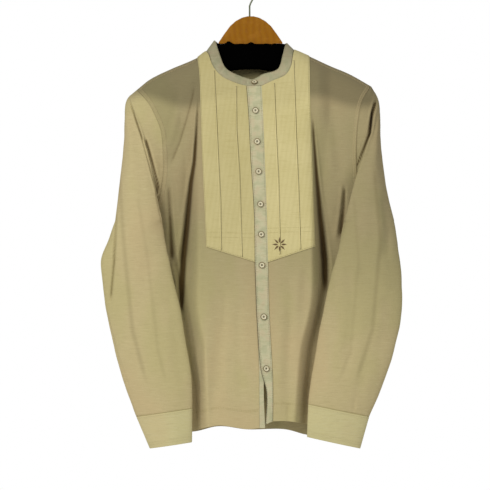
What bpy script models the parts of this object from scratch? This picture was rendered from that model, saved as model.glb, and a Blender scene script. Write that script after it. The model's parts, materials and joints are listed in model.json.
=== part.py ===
"""A long-sleeved shirt with a mandarin collar and a bib, hanging on a padded hanger.

Every size below is in millimetres, and the model is made in metres. The origin is the inside top of
the hook. Outlines are given as "out", the distance from the middle, and "down", the distance below
the origin. The front faces -Y. Left and right are the wearer's, so the right half lies at -X.
"""

import math

import bmesh
import bpy
from mathutils import Matrix, Vector

MM = 0.001
CLOTH = 1.2
BIB_CLOTH = 1.0
SEAM_GAP = 0.3

NECK_SPANS = 5
BIB_SHOULDER_SPANS = 1
SHOULDER_SPANS = 9
ARMHOLE_SPANS = 10
BIB_SIDE_SPANS = 2
LOWER_SPANS = 10
PLACKET_SPANS = 3
COLLAR_SPANS = 2
SLEEVE_SPANS = 13
CUFF_SPANS = 2
SECTION_SPANS = (3, 2, 3, 3, 3, 3, 2, 3)
CAP_ANGLES = (0, 22, 40, 58, 78, 98, 122, 150, 180)
CAP_END = 0.25

BODY_SIDES = {"right": -1, "left": 1}


def table(columns, *rows):
    names = columns.split()
    return [dict(zip(names, row)) for row in rows]


SHOULDER_ROUNDING = 40
DEPTHS = table(
    "down front side back",
    (130, 30, 26, 26),
    (214, 40, 31, 33),
    (300, 45, 35, 38),
    (380, 47, 30, 40),
    (456, 48, 17, 40),
    (540, 50, 12, 38),
    (650, 50, 12, 36),
    (760, 48, 12, 35),
    (880, 46, 12, 34),
)

HALVES = {
    "right": {
        "neck": table("out down", (7, 214), (26, 209), (55, 195), (72, 175), (80, 152), (84.6, 146.3)),
        "shoulder": table(
            "out down",
            (0, 138), (60, 140), (84.6, 146.3), (103.6, 159.6), (152, 180.3), (191, 199.5), (217, 220),
        ),
        "bib_at_shoulder": 100.7,
        "armhole": table(
            "out down", (196, 243), (182, 268), (170, 299), (166, 345), (167, 390), (176, 430)
        ),
        "side": table("down out", (468, 195), (487, 188), (560, 198), (700, 203), (873, 188)),
        "bib_edge": table("out down", (97, 190), (92.3, 323), (83.4, 519)),
        "bib_edge_at_hem": (84, 861),
        "bib_line_at_side": 505,
        "front_hem": table("out down", (34, 860), (61, 857)),
        "outer_hem": table("out down", (110, 868), (150, 872)),
        "plateau": table("down edge", (250, 125), (357, 112), (541, 110), (635, 110), (713, 98), (880, 90)),
        "sleeve_fold": table("out down", (231, 242), (206, 313), (189, 374)),
        "sleeve_outer": table("out down", (236, 240), (240, 313), (246, 374)),
        "sleeve": table(
            "down inner outer front back seam valley slant",
            (468, 168, 256, 60, 4, 0.307, 0.40, 0),
            (500, 161, 268, 60, 10, 0.49, 0.47, 0),
            (541, 152, 284, 60, 17, 0.40, 0.26, 0),
            (575, 146, 283, 59, 20, 0.36, 0.10, 0),
            (642, 130, 274, 58, 20, 0.30, 0.10, 0),
            (713, 118, 258, 56, 20, 0.25, 0.10, 4),
            (775, 109, 238, 56, 20, 0.22, 0.10, 10),
            (824, 109, 218, 55, 22, 0.20, 0.10, 16),
            (889, 111, 191, 53, 25, 0.20, 0.10, 12),
        ),
        "cuff_down": 824,
    },
    "left": {
        "neck": table("out down", (21, 214), (42, 204), (68, 191), (77, 176), (81, 152), (82.8, 143.5)),
        "shoulder": table(
            "out down",
            (0, 138), (60, 137), (82.8, 143.5), (111.9, 155.8), (150, 173.5), (189, 190), (229.7, 213),
        ),
        "bib_at_shoulder": 111.9,
        "armhole": table("out down", (213, 241), (205, 280), (202, 320), (202, 362), (206, 405), (214, 438)),
        "side": table("down out", (468, 228), (487, 220), (560, 222), (700, 214), (874, 196)),
        "bib_edge": table("out down", (112.5, 220), (115.5, 330), (122.4, 518)),
        "bib_edge_at_hem": (128, 860),
        "bib_line_at_side": 505,
        "front_hem": table("out down", (71, 849), (106, 855)),
        "outer_hem": table("out down", (150, 866),),
        "plateau": table("down edge", (250, 140), (381, 128), (541, 128), (621, 126), (713, 106), (880, 92)),
        "sleeve_fold": table("out down", (239, 262), (223, 318), (203, 377)),
        "sleeve_outer": table("out down", (243, 238), (247, 318), (253, 377)),
        "sleeve": table(
            "down inner outer front back seam valley slant",
            (468, 178, 271, 60, 4, 0.538, 0.60, 0),
            (500, 169, 278, 60, 10, 0.70, 0.60, 0),
            (545, 158, 284, 60, 17, 0.50, 0.30, 0),
            (575, 150, 287, 59, 20, 0.36, 0.10, 0),
            (640, 136, 288, 58, 20, 0.30, 0.10, 0),
            (703, 124, 275, 56, 20, 0.25, 0.10, 4),
            (772, 112, 251, 56, 20, 0.22, 0.10, 12),
            (816, 108, 226, 55, 22, 0.20, 0.10, 24),
            (879, 107, 208, 53, 25, 0.20, 0.10, 22),
        ),
        "cuff_down": 816,
    },
}

CENTRE_LINE = table(
    "down under_seam under_free free_edge seam_edge",
    (214, -7, 21, -7, 21),
    (270, -3, 24, -3, 24),
    (350, 1, 27, 1, 27),
    (456, 7.5, 31, 7.5, 31),
    (548, 9, 33, 9, 33),
    (600, 10.6, 33.4, 10.6, 34.1),
    (650, 12.5, 33, 12.5, 35.5),
    (749, 16, 26, 20, 41),
    (796, 16.5, 25, 31, 42.4),
    (862, 17, 27.6, 28.3, 41.8),
)
BIB_BOTTOM = 548
RIGHT_FRONT_END = 862
LEFT_FRONT_END = 849

BACK_NECK = table("x down", (-62, 160), (-31, 168), (0, 170), (31, 167), (62, 159))
BACK_HEM = table("x down", (-107, 871), (-61, 861), (-7, 867), (66, 867), (106, 877), (150, 881))
# The collar's top edge in four stretches: each ends above a corner of the neck seam.
COLLAR_TOP = [
    table("x down y", (-7, 197.5, -20), (-21, 192.5, -21), (-46, 179, -25), (-59, 151, -23), (-66, 130, -11)),
    table("x down y", (-69, 125, 0), (-64, 129, 14), (-48, 135, 24), (-25, 137, 27), (0, 137.5, 28)),
    table("x down y", (0, 137.5, 28), (25, 137, 27), (48, 135, 24), (64, 132, 14), (69, 130, 0)),
    table("x down y", (69, 130, 0), (66, 136, -11), (61, 153.5, -23), (51.5, 180, -25), (27, 188.7, -21)),
    table("x down y", (21, 191, -21), (12, 196, -20.5), (3, 199.5, -20), (-7, 197.5, -20)),
]

# A trough in the front or back, from its top to its end.
TROUGHS = table(
    "cloth x down end_x end_down width depth",
    ("front", -107, 219, -155, 367, 13, 5),
    ("front", -107, 300, -126, 560, 14, 7),
    ("front", 119, 270, 138, 560, 13, 6),
    ("front", -60, 600, -72, 850, 13, 4),
    ("front", 80, 640, 70, 850, 14, 4),
    ("back", -120, 260, -90, 700, 20, 8),
    ("back", 115, 280, 95, 740, 22, 8),
    ("back", 10, 420, -5, 860, 18, 6),
    ("back", -55, 560, -60, 860, 14, 5),
)

# The buttons on the placket, below the one on the collar.
BUTTON_RADIUS = 6
BUTTON_THICK = 2.6
BUTTON_SIDES = 16
BUTTONS = table(
    "x down",
    (9.3, 260), (12.5, 318.8), (15.2, 375.6), (18.8, 437.2),
    (20, 494.8), (21.3, 553.1), (25, 650.8), (29.8, 748.9),
)

WIRE_RADIUS = 1.6
HOOK_INSIDE_RADIUS = 20
STEM_X = -1.7
STEM_END = 95.5
BEND_START = 60
WOOD_THICK = 12
WOOD_TOP = 79.8
WOOD_REST = 131.7
WOOD_ROUNDING = 2.5
DOME = table(
    "out down",
    (61, WOOD_REST), (60.5, 129), (50, 113.5), (39, 98.5), (28, 88.7), (16, 82.3), (6, WOOD_TOP),
)
TENON_HALF = 48
TENON_END = 158
SLOT_DEPTH = 60
BORE_DEPTH = 40
PAD_TOP = 132
PAD_HALF_LENGTH = 204
PAD_STATIONS = 27
PAD_SIDES = 14
PAD = table(
    "out bottom half_thick clear",
    (0, 181, 14, 3), (20, 181.5, 14, 3), (60, 188, 9, 3), (90, 199, 8, 3),
    (120, 212, 12, 1.2), (180, 240, 12, 1.2), (204, 250, 11, 1.2),
)

PLATEAU_SLOPE = 14
SEAM_SNAP = 0.0001
SIDE_RISE = 0.7
UNDERARM_TILT = 0.12
RIGHT_HEM_START = (-7, 864)
FRONT_CLOSING = 5
BACK_CLOSING = 3
ARMHOLE_EASE = 1.5
UPPER_EASE = 1.6
# How far the upper sleeve stands forward, from the shoulder's tip to the underarm.
FOLD_FORWARD = (22, 46)
OUTER_FORWARD = (3, 32)
SLEEVE_FRONT = table("across tip underarm", (0.25, 24, 59), (0.7, 20, 59))
SLEEVE_REAR = table("inward tip underarm", (0.12, 16, -5), (0.5, 28, 4))
TOP_PLACKET_END = 855
COLLAR_BUTTON_LIFT = 1.2
PLACKET_BUTTON_LIFT = 2.3
HOOK_STEPS = 22
HOOK_START = -62
HOOK_END = 205
PAD_NECK = 63
PAD_SHOULDER = 78
PAD_END_ROUNDING = 16
PAD_END_SIZE = 0.35


def value(rows, key, column, at):
    """The smooth value of a column where another column holds a given number."""
    if at <= rows[0][key]:
        return rows[0][column]
    if at >= rows[-1][key]:
        return rows[-1][column]
    last = len(rows) - 1
    index = next(i for i in range(last) if at <= rows[i + 1][key])

    def slope(i):
        low, high = rows[max(i - 1, 0)], rows[min(i + 1, last)]
        return (high[column] - low[column]) / (high[key] - low[key])

    low, high = rows[index], rows[index + 1]
    span = high[key] - low[key]
    t = (at - low[key]) / span
    start = (1 + 2 * t) * (1 - t) ** 2 * low[column] + t * (1 - t) ** 2 * span * slope(index)
    return start + t * t * (3 - 2 * t) * high[column] + t * t * (t - 1) * span * slope(index + 1)


def smooth(t):
    t = min(max(t, 0.0), 1.0)
    return t * t * (3 - 2 * t)


def mix(a, b, t):
    return a + (b - a) * t


def bend(points, t):
    """The point at t between the middle two of four points, on a smooth curve through them."""
    knots = [0.0]
    for a, b in zip(points, points[1:]):
        knots.append(knots[-1] + max((b - a).length, 0.01) ** 0.5)
    at = mix(knots[1], knots[2], t)

    def share(low, high):
        return (at - knots[low]) / (knots[high] - knots[low])

    first = [mix(points[i], points[i + 1], share(i, i + 1)) for i in range(3)]
    second = [mix(first[i], first[i + 1], share(i, i + 2)) for i in range(2)]
    return mix(second[0], second[1], share(1, 2))


def section(points, counts, closed=False):
    """A smooth curve through the points, with its own number of steps in each span."""
    result = []
    for i, steps in enumerate(counts):
        before = points[i - 1] if i else (points[-2] if closed else 2 * points[0] - points[1])
        if i + 2 < len(points):
            after = points[i + 2]
        else:
            after = points[1] if closed else 2 * points[-1] - points[-2]
        quad = [before, points[i], points[i + 1], after]
        result += [points[i]] + [bend(quad, step / steps) for step in range(1, steps)]
    return result + [points[-1]]


def along(points, spans, ease=1.0):
    """Points along a smooth curve, evenly spaced or, with ease over 1, closer at its start."""
    dense = section(points, [12] * (len(points) - 1))
    lengths = [0.0]
    for a, b in zip(dense, dense[1:]):
        lengths.append(lengths[-1] + (b - a).length)
    result = [points[0]]
    for i in range(1, spans):
        wanted = lengths[-1] * (i / spans) ** ease
        k = next(n for n in range(1, len(lengths)) if lengths[n] >= wanted)
        result.append(mix(dense[k - 1], dense[k], (wanted - lengths[k - 1]) / (lengths[k] - lengths[k - 1])))
    return result + [points[-1]]


def straight(start, end, spans):
    return [start] + [mix(start, end, i / spans) for i in range(1, spans)] + [end]


def spot(x, down):
    return Vector((x, 0.0, -down))


def coons(top, bottom, left, right):
    """The net of points inside four edges that meet at their ends."""
    rows = []
    for i in range(len(left)):
        v = i / (len(left) - 1)
        row = [left[i]]
        for j in range(1, len(top) - 1):
            u = j / (len(top) - 1)
            across = mix(left[i], right[i], u) + mix(top[j], bottom[j], v)
            row.append(across - mix(mix(top[0], top[-1], u), mix(bottom[0], bottom[-1], u), v))
        rows.append(row + [right[i]])
    rows[0] = list(top)
    rows[-1] = list(bottom)
    return rows


def shoulder_down(half, out):
    return value(HALVES[half]["shoulder"], "out", "down", out)


def side_reach(half, down):
    """How far out the side seam lies, carried on above the underarm, where the armhole is."""
    side = HALVES[half]["side"]
    above = side[0]["down"] - down
    return side[0]["out"] + SIDE_RISE * above if above > 0 else value(side, "down", "out", down)


def trough_depth(cloth, x, down):
    total = 0.0
    for row in TROUGHS:
        if row["cloth"] != cloth:
            continue
        start = Vector((row["x"], row["down"]))
        line = Vector((row["end_x"], row["end_down"])) - start
        at = (Vector((x, down)) - start).dot(line) / line.length_squared
        away = (Vector((x, down)) - start - line * at).length / row["width"]
        total += row["depth"] * math.exp(-away * away) * smooth(at * 4 + 0.5) * smooth((1 - at) * 4 + 0.5)
    return total


def surface(cloth, x, down):
    """The outside of the front or back: round over the shoulder, closing at the side seam."""
    half, out = ("left" if x > 0 else "right"), abs(x)
    drop = (down - shoulder_down(half, out)) / SHOULDER_ROUNDING
    reach = out / side_reach(half, down)
    if drop < SEAM_SNAP or reach > 1 - SEAM_SNAP:
        return Vector((x, 0.0, -down))
    rounding = math.sqrt(1 - (1 - min(drop, 1.0)) ** 2)
    if cloth == "front":
        edge = value(HALVES[half]["plateau"], "down", "edge", down)
        middle = 1 - smooth((out - edge + PLATEAU_SLOPE) / (2 * PLATEAU_SLOPE))
        depth = mix(value(DEPTHS, "down", "side", down), value(DEPTHS, "down", "front", down), middle)
        closing = math.sqrt(1 - reach**FRONT_CLOSING)
    else:
        depth = value(DEPTHS, "down", "back", down)
        closing = math.sqrt(1 - reach**BACK_CLOSING)
    depth = (depth - trough_depth(cloth, x, down)) * rounding * closing
    return Vector((x, -depth if cloth == "front" else depth, -down))


def lay(cloth, net):
    return [[surface(cloth, point.x, -point.z) for point in row] for row in net]


def half_edges(half):
    """The flat outline of one half, and the lines that its bib follows."""
    sizes = HALVES[half]
    sign = BODY_SIDES[half]

    def spots(rows):
        return [spot(sign * row["out"], row["down"]) for row in rows]

    def shoulder(start, end, spans):
        outs = [mix(start, end, i / spans) for i in range(spans + 1)]
        return [spot(sign * out, shoulder_down(half, out)) for out in outs]

    def side(start, end, spans):
        downs = [mix(start, end, i / spans) for i in range(spans + 1)]
        return [spot(sign * side_reach(half, down), down) for down in downs]

    neck = along(spots(sizes["neck"]), NECK_SPANS)
    neck[0] = spot(CENTRE_LINE[0]["under_seam" if half == "right" else "seam_edge"], -neck[0].z)
    inner = shoulder(sizes["neck"][-1]["out"], sizes["bib_at_shoulder"], BIB_SHOULDER_SPANS)
    outer = shoulder(sizes["bib_at_shoulder"], sizes["shoulder"][-1]["out"], SHOULDER_SPANS)
    neck[-1] = inner[0]
    outer[0] = inner[-1]
    underarm, hem_down = sizes["side"][0]["down"], sizes["side"][-1]["down"]
    upper_side = side(underarm, sizes["bib_line_at_side"], BIB_SIDE_SPANS)
    lower_side = side(sizes["bib_line_at_side"], hem_down, LOWER_SPANS)
    armhole = along([outer[-1]] + spots(sizes["armhole"]) + [upper_side[0]], ARMHOLE_SPANS, ARMHOLE_EASE)
    return {
        "neck": neck,
        "shoulder_inner": inner,
        "shoulder_outer": outer,
        "armhole": armhole,
        "side_upper": upper_side,
        "side_lower": lower_side,
    }


def centre_points(column, bottom):
    """Points down a line of the centre front, to the bib's end and then to the hem."""
    upper = ARMHOLE_SPANS + BIB_SIDE_SPANS
    top = CENTRE_LINE[0]["down"]
    downs = [mix(top, BIB_BOTTOM, (i / upper) ** UPPER_EASE) for i in range(upper)]
    downs += [mix(BIB_BOTTOM, bottom, i / LOWER_SPANS) for i in range(LOWER_SPANS + 1)]
    return [spot(value(CENTRE_LINE, "down", column, down), down) for down in downs]


def front_net(half, edges):
    """The flat net of one front: four blocks that meet at the bib's lower corner."""
    sizes = HALVES[half]
    sign = BODY_SIDES[half]
    upper = ARMHOLE_SPANS + BIB_SIDE_SPANS
    if half == "right":
        centre = centre_points("under_seam", RIGHT_FRONT_END)
    else:
        centre = centre_points("seam_edge", LEFT_FRONT_END)
    corner = spot(sign * sizes["bib_edge"][-1]["out"], sizes["bib_edge"][-1]["down"])
    hem_mark = spot(sign * sizes["bib_edge_at_hem"][0], sizes["bib_edge_at_hem"][1])
    edge_spots = [spot(sign * row["out"], row["down"]) for row in sizes["bib_edge"]]
    bib_edge = along([edges["shoulder_inner"][-1]] + edge_spots, upper, UPPER_EASE)
    bib_edge[-1] = corner
    lower_edge = straight(corner, hem_mark, LOWER_SPANS)
    outer_upper = edges["armhole"] + edges["side_upper"][1:]
    inner_spans = NECK_SPANS + BIB_SHOULDER_SPANS
    inner_top = edges["neck"] + edges["shoulder_inner"][1:]
    bib_foot = straight(centre[upper], corner, inner_spans)
    side_foot = straight(corner, edges["side_upper"][-1], SHOULDER_SPANS)
    hem_spots = [spot(sign * row["out"], row["down"]) for row in sizes["front_hem"]]
    if half == "right":
        hem_spots.insert(0, spot(*RIGHT_HEM_START))
    inner_hem = along([centre[-1]] + hem_spots + [hem_mark], inner_spans)
    outer_spots = [spot(sign * row["out"], row["down"]) for row in sizes["outer_hem"]]
    outer_hem = along([hem_mark] + outer_spots + [edges["side_lower"][-1]], SHOULDER_SPANS)
    inner = coons(inner_top, bib_foot, centre[: upper + 1], bib_edge)
    inner += coons(bib_foot, inner_hem, centre[upper:], lower_edge)[1:]
    outer = coons(edges["shoulder_outer"], side_foot, bib_edge, outer_upper)
    outer += coons(side_foot, outer_hem, lower_edge, edges["side_lower"])[1:]
    return [a[:-1] + b for a, b in zip(inner, outer)]


def back_net(right, left):
    """The flat net of the back, in one block from shoulder to shoulder and down to the hem."""
    neck = along(
        [right["neck"][-1]] + [spot(row["x"], row["down"]) for row in BACK_NECK] + [left["neck"][-1]],
        2 * NECK_SPANS,
    )
    top = right["shoulder_outer"][:0:-1] + right["shoulder_inner"][:0:-1] + neck
    top += left["shoulder_inner"][1:] + left["shoulder_outer"][1:]
    rights = right["armhole"] + right["side_upper"][1:] + right["side_lower"][1:]
    lefts = left["armhole"] + left["side_upper"][1:] + left["side_lower"][1:]
    hem = [rights[-1]] + [spot(row["x"], row["down"]) for row in BACK_HEM] + [lefts[-1]]
    return coons(top, along(hem, len(top) - 1), rights, lefts), neck


def strip_net(left_column, right_column, bottom_left, bottom_right, spans):
    lefts = centre_points(left_column, bottom_left)
    rights = centre_points(right_column, bottom_right)
    return [straight(a, b, spans) for a, b in zip(lefts, rights)]


def collar_net(right, left, neck):
    """The standing band, from its top edge to the neck seam, all round from the placket's free edge."""
    front_seam = straight(left["neck"][0], right["neck"][0], PLACKET_SPANS)
    seam = [surface("front", point.x, -point.z) for point in right["neck"]]
    seam += [surface("back", point.x, -point.z) for point in neck[1:]]
    seam += [surface("front", point.x, -point.z) for point in left["neck"][-2::-1] + front_seam[1:]]
    corners = [[Vector((row["x"], row["y"], -row["down"])) for row in stretch] for stretch in COLLAR_TOP]
    corners[0].append(corners[1][0])
    corners[3].append(corners[4][0])
    top = []
    for stretch, spans in zip(corners, (NECK_SPANS, NECK_SPANS, NECK_SPANS, NECK_SPANS, PLACKET_SPANS)):
        top = top[:-1] + along(stretch, spans)
    return [[mix(a, b, i / COLLAR_SPANS) for a, b in zip(top, seam)] for i in range(COLLAR_SPANS + 1)]


def sleeve_keys(row, down, sign):
    """The points that shape a hanging sleeve's flattened tube at one height."""
    width = row["outer"] - row["inner"]
    depth = row["front"] - row["back"]

    def place(across, forward):
        out = row["inner"] + across * width
        return Vector((sign * out, -(row["back"] + forward * depth), -(down + row["slant"] * across)))

    half_back = (row["seam"] + 0.86) / 2
    return [
        place(row["seam"], 0),
        place(row["valley"], 0.2),
        place(0, 0.62),
        place(0.25, 1),
        place(0.7, 1),
        place(1, 0.5),
        place(0.9, 0.08),
        place(half_back, 0),
        place(row["seam"], 0),
    ]


def sleeve_row(rows, down):
    return {name: value(rows, "down", name, down) for name in rows[0]}


def cap_point(start, end, outer, degrees):
    """A point on the round cap that joins the armhole's front and back over the shoulder's tip."""
    angle = math.radians(degrees)
    middle, reach = (start + end) / 2, (end - start) / 2
    return middle - reach * math.cos(angle) + (outer - middle) * math.sin(angle)


def upper_sleeve(half, armhole):
    """The rows round the shoulder, open towards the body, from its tip to the underarm."""
    sizes = HALVES[half]
    sign = BODY_SIDES[half]
    tip = armhole[0]
    low = sleeve_keys(sizes["sleeve"][0], sizes["sleeve"][0]["down"], sign)
    spans = len(armhole) - 1

    def line(name, end):
        points = [tip] + [spot(sign * row["out"], row["down"]) for row in sizes[name]]
        return along(points + [spot(end.x, -end.z)], spans, ARMHOLE_EASE)

    fold, outer = line("sleeve_fold", low[2]), line("sleeve_outer", low[5])
    rows = [[surface("front", tip.x, -tip.z)] * (sum(SECTION_SPANS) + 1)]
    for i in range(1, spans + 1):
        t = i / spans
        start = surface("front", armhole[i].x, -armhole[i].z)
        end = surface("back", armhole[i].x, -armhole[i].z)
        ridge = fold[i] + Vector((0, -mix(*FOLD_FORWARD, smooth(1.6 * t)), 0))
        valley = mix(start, ridge, 0.5)
        valley.x = sign * max(abs(valley.x), abs(start.x) + 4 * t)
        keys = [start, valley, ridge]
        for row in SLEEVE_FRONT:
            forward = mix(row["tip"], row["underarm"], t)
            keys.append(mix(fold[i], outer[i], row["across"]) + Vector((0, -forward, 0)))
        keys.append(outer[i] + Vector((0, -mix(*OUTER_FORWARD, t), 0)))
        for row in SLEEVE_REAR:
            behind = mix(row["tip"], row["underarm"], t * t)
            keys.append(mix(outer[i], armhole[i], row["inward"]) + Vector((0, behind, 0)))
        keys.append(end)
        keys = [
            mix(cap_point(start, end, outer[i], angle), key, smooth((t - CAP_END) / CAP_END))
            for angle, key in zip(CAP_ANGLES, keys)
        ]
        rows.append(section(keys, SECTION_SPANS, closed=i == spans))
    return rows


def lower_sleeve(half):
    """The closed rows below the underarm, to the cuff's seam."""
    sizes = HALVES[half]
    start = sizes["sleeve"][0]["down"]
    rows = []
    for i in range(1, SLEEVE_SPANS + 1):
        down = mix(start, sizes["cuff_down"], i / SLEEVE_SPANS)
        keys = sleeve_keys(sleeve_row(sizes["sleeve"], down), down, BODY_SIDES[half])
        rows.append(section(keys, SECTION_SPANS, closed=True))
    return rows


def cuff_net(half, seam_row):
    sizes = HALVES[half]
    last = sizes["sleeve"][-1]
    end = section(sleeve_keys(last, last["down"], BODY_SIDES[half]), SECTION_SPANS, closed=True)
    rows = [seam_row]
    for i in range(1, CUFF_SPANS + 1):
        rows.append([mix(a, b, i / CUFF_SPANS) for a, b in zip(seam_row, end)])
    return rows


def mark(point):
    return (round(point.x, 2), round(point.y, 2), round(point.z, 2))


def sheet(net, flip=False, split=False):
    """Points and faces of a net. Points that meet are one, except at the ends of a split ring."""
    places, points, ids = {}, [], []
    for row in net:
        ids.append([])
        for j, point in enumerate(row):
            place = (mark(point), split and j == len(row) - 1)
            if place not in places:
                places[place] = len(points)
                points.append(point)
            ids[-1].append(places[place])
    faces = []
    for upper, lower in zip(ids, ids[1:]):
        for j in range(len(upper) - 1):
            for corners in ((upper[j], upper[j + 1], lower[j + 1]), (upper[j], lower[j + 1], lower[j])):
                if len(set(corners)) == 3:
                    faces.append(corners[::-1] if flip else corners)
    return points, faces


def add_facing(facing, points, faces):
    """Adds each face's direction, weighted by its area, to the points it joins."""
    for face in faces:
        corners = [points[i] for i in face]
        area = (corners[1] - corners[0]).cross(corners[2] - corners[0])
        for corner in corners:
            facing[mark(corner)] = facing.get(mark(corner), Vector()) + area


def seam_edges(faces):
    sides = {(a, b) for face in faces for a, b in zip(face, face[1:] + face[:1])}
    return sorted(side for side in sides if side[::-1] not in sides)


def wall(name, points, faces, facing, material, thick=CLOTH, lift=0.0):
    """A cloth of even thickness: its outside on the net, or lifted off it, and its seams drawn in."""
    out = [facing[mark(point)].normalized() for point in points]
    drawn = [[] for _ in points]
    edges = seam_edges(faces)
    for a, b in edges:
        line = (points[b] - points[a]).normalized()
        for i in (a, b):
            drawn[i].append(out[i].cross(line).normalized() * SEAM_GAP / 2)
    outside = []
    for i, point in enumerate(points):
        inset = Vector()
        if drawn[i]:
            turn = drawn[i][0].normalized().dot(drawn[i][-1].normalized())
            inset = sum(drawn[i], Vector()) / max(0.5, 1 + turn)
        outside.append(point + inset + out[i] * lift)
    inside = [point - facing_out * thick for point, facing_out in zip(outside, out)]
    count = len(points)
    closed = list(faces) + [[i + count for i in face[::-1]] for face in faces]
    for a, b in edges:
        near, far = (a, b) if mark(points[a]) < mark(points[b]) else (b, a)  # one diagonal on both sides
        closed += [[b, a, far + count], [near, a + count, b + count]]
    return solid(name, outside + inside, closed, material)


def solid(name, points, faces, material):
    mesh = bpy.data.meshes.new(name)
    mesh.from_pydata([point * MM for point in points], [], faces)
    return place(name, mesh, material)


def place(name, mesh, material):
    mesh.materials.append(material)
    obj = bpy.data.objects.new(name, mesh)
    bpy.context.scene.collection.objects.link(obj)
    if isinstance(mesh, bpy.types.Mesh):
        mesh.shade_smooth()
        mesh.set_sharp_from_angle(angle=math.radians(40))
    return obj


def finish(name, colour, roughness, metallic=0.0):
    material = bpy.data.materials.new(name)
    material.use_nodes = True
    shader = material.node_tree.nodes["Principled BSDF"]
    shader.inputs["Base Color"].default_value = (*colour, 1)
    shader.inputs["Roughness"].default_value = roughness
    shader.inputs["Metallic"].default_value = metallic
    return material


def make_cloths(jersey, pale, beige, cuff_cloth):
    """The cloths that share seams, then the bibs and top placket that lie on them."""
    edges = {half: half_edges(half) for half in BODY_SIDES}
    fronts = {half: lay("front", front_net(half, edges[half])) for half in BODY_SIDES}
    flat_back, neck = back_net(edges["right"], edges["left"])
    under = strip_net("under_seam", "under_free", RIGHT_FRONT_END, RIGHT_FRONT_END, PLACKET_SPANS)
    pieces = {
        "back": (lay("back", flat_back), False, False, jersey),
        "placket_under": (lay("front", under), True, False, beige),
        "collar": (collar_net(edges["right"], edges["left"], neck), False, True, beige),
    }
    for half in BODY_SIDES:
        flip = half == "left"
        sleeve = upper_sleeve(half, edges[half]["armhole"]) + lower_sleeve(half)
        pieces["front_" + half] = (fronts[half], flip, False, jersey)
        pieces["sleeve_" + half] = (sleeve, flip, False, jersey)
        pieces["cuff_" + half] = (cuff_net(half, sleeve[-1]), flip, False, cuff_cloth)
    facing = {}
    sheets = {name: sheet(net, flip, split) for name, (net, flip, split, _) in pieces.items()}
    for points, faces in sheets.values():
        add_facing(facing, points, faces)
    for half in BODY_SIDES:  # the cloth arches under the arm
        facing[mark(edges[half]["armhole"][-1])] = Vector((UNDERARM_TILT * BODY_SIDES[half], 0, -1))
    for name, (points, faces) in sheets.items():
        wall(name, points, faces, facing, pieces[name][3])
    rows = ARMHOLE_SPANS + BIB_SIDE_SPANS + 1
    for half in BODY_SIDES:
        bib = [row[: NECK_SPANS + BIB_SHOULDER_SPANS + 1] for row in fronts[half][:rows]]
        lie_on("bib_" + half, bib, half == "left", pale, BIB_CLOTH, facing)
    top = strip_net("free_edge", "seam_edge", TOP_PLACKET_END, LEFT_FRONT_END, PLACKET_SPANS)
    lie_on("placket", lay("front", top), True, beige, CLOTH, facing)
    return pieces["collar"][0]


def lie_on(name, net, flip, material, thick, under):
    """A piece on the fronts, made from their points and moved out as the cloth under it faces."""
    points, faces = sheet(net, flip)
    facing = {}
    add_facing(facing, points, faces)
    facing.update((key, under[key]) for key in facing if key in under)
    wall(name, points, faces, facing, material, thick, SEAM_GAP + thick)


def button_mesh():
    """A round button with a raised rim, turned from its profile, its back on the XY plane."""
    radius, thick = BUTTON_RADIUS, BUTTON_THICK
    profile = (
        (0, 0), (radius - 0.4, 0), (radius, thick / 2), (radius - 0.8, thick),
        (radius - 1.8, thick - 0.1), (radius - 2.2, thick - 0.5), (0, thick - 0.5),
    )
    shape = bmesh.new()
    points = [shape.verts.new((r * MM, 0, z * MM)) for r, z in profile]
    lines = [shape.edges.new(pair) for pair in zip(points, points[1:])]
    bmesh.ops.spin(
        shape, geom=points + lines, axis=(0, 0, 1), cent=(0, 0, 0), angle=math.tau,
        steps=BUTTON_SIDES, use_merge=True,
    )
    bmesh.ops.remove_doubles(shape, verts=shape.verts, dist=0.00001)
    bmesh.ops.recalc_face_normals(shape, faces=shape.faces)
    mesh = bpy.data.meshes.new("button")
    shape.to_mesh(mesh)
    shape.free()
    return mesh


def make_buttons(collar, shell):
    """The first button sits on the collar's band and the others on the placket, square to the cloth."""
    band = [row[-3:-1] for row in collar]
    middle = sum((point for row in (band[0], band[-1]) for point in row), Vector()) / 4
    rise = band[0][0] - band[-1][0]
    run = band[-1][0] - band[-1][1]
    out = rise.cross(run).normalized()
    out = out if out.y < 0 else -out
    seats = [(middle, out, COLLAR_BUTTON_LIFT)]
    for row in BUTTONS:
        at = surface("front", row["x"], row["down"])
        run = surface("front", row["x"] + 3, row["down"]) - at
        rise = surface("front", row["x"], row["down"] - 3) - at
        seats.append((at, run.cross(rise).normalized(), PLACKET_BUTTON_LIFT))
    for number, (at, out, lift) in enumerate(seats, 1):
        mesh = button_mesh()
        turn = out.to_track_quat("Z", "Y").to_matrix().to_4x4()
        mesh.transform(Matrix.Translation((at + out * lift) * MM) @ turn)
        place(f"button_{number}", mesh, shell)


def make_hook(steel):
    """The wire: a stem out of the wood, a sideways bend and a round hook open on the wearer's right."""
    reach = HOOK_INSIDE_RADIUS + WIRE_RADIUS
    arc = []
    for i in range(HOOK_STEPS + 1):
        angle = math.radians(mix(HOOK_START, HOOK_END, i / HOOK_STEPS))
        arc.append(spot(reach * math.cos(angle), HOOK_INSIDE_RADIUS - reach * math.sin(angle)))
    stem = [spot(STEM_X, STEM_END), spot(STEM_X, WOOD_TOP - 2), spot(STEM_X, BEND_START)]
    points = stem[:2] + section([stem[1], stem[2], arc[0], arc[1]], (1, 6, 1))[1:-1] + arc[1:]
    curve = bpy.data.curves.new("hanger_hook", "CURVE")
    curve.dimensions = "3D"
    curve.bevel_depth = WIRE_RADIUS * MM
    curve.bevel_resolution = 2
    curve.use_fill_caps = True
    spline = curve.splines.new("POLY")
    spline.points.add(len(points) - 1)
    for knot, point in zip(spline.points, points):
        knot.co = (*(point * MM), 1)
    place("hanger_hook", curve, steel)


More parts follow.
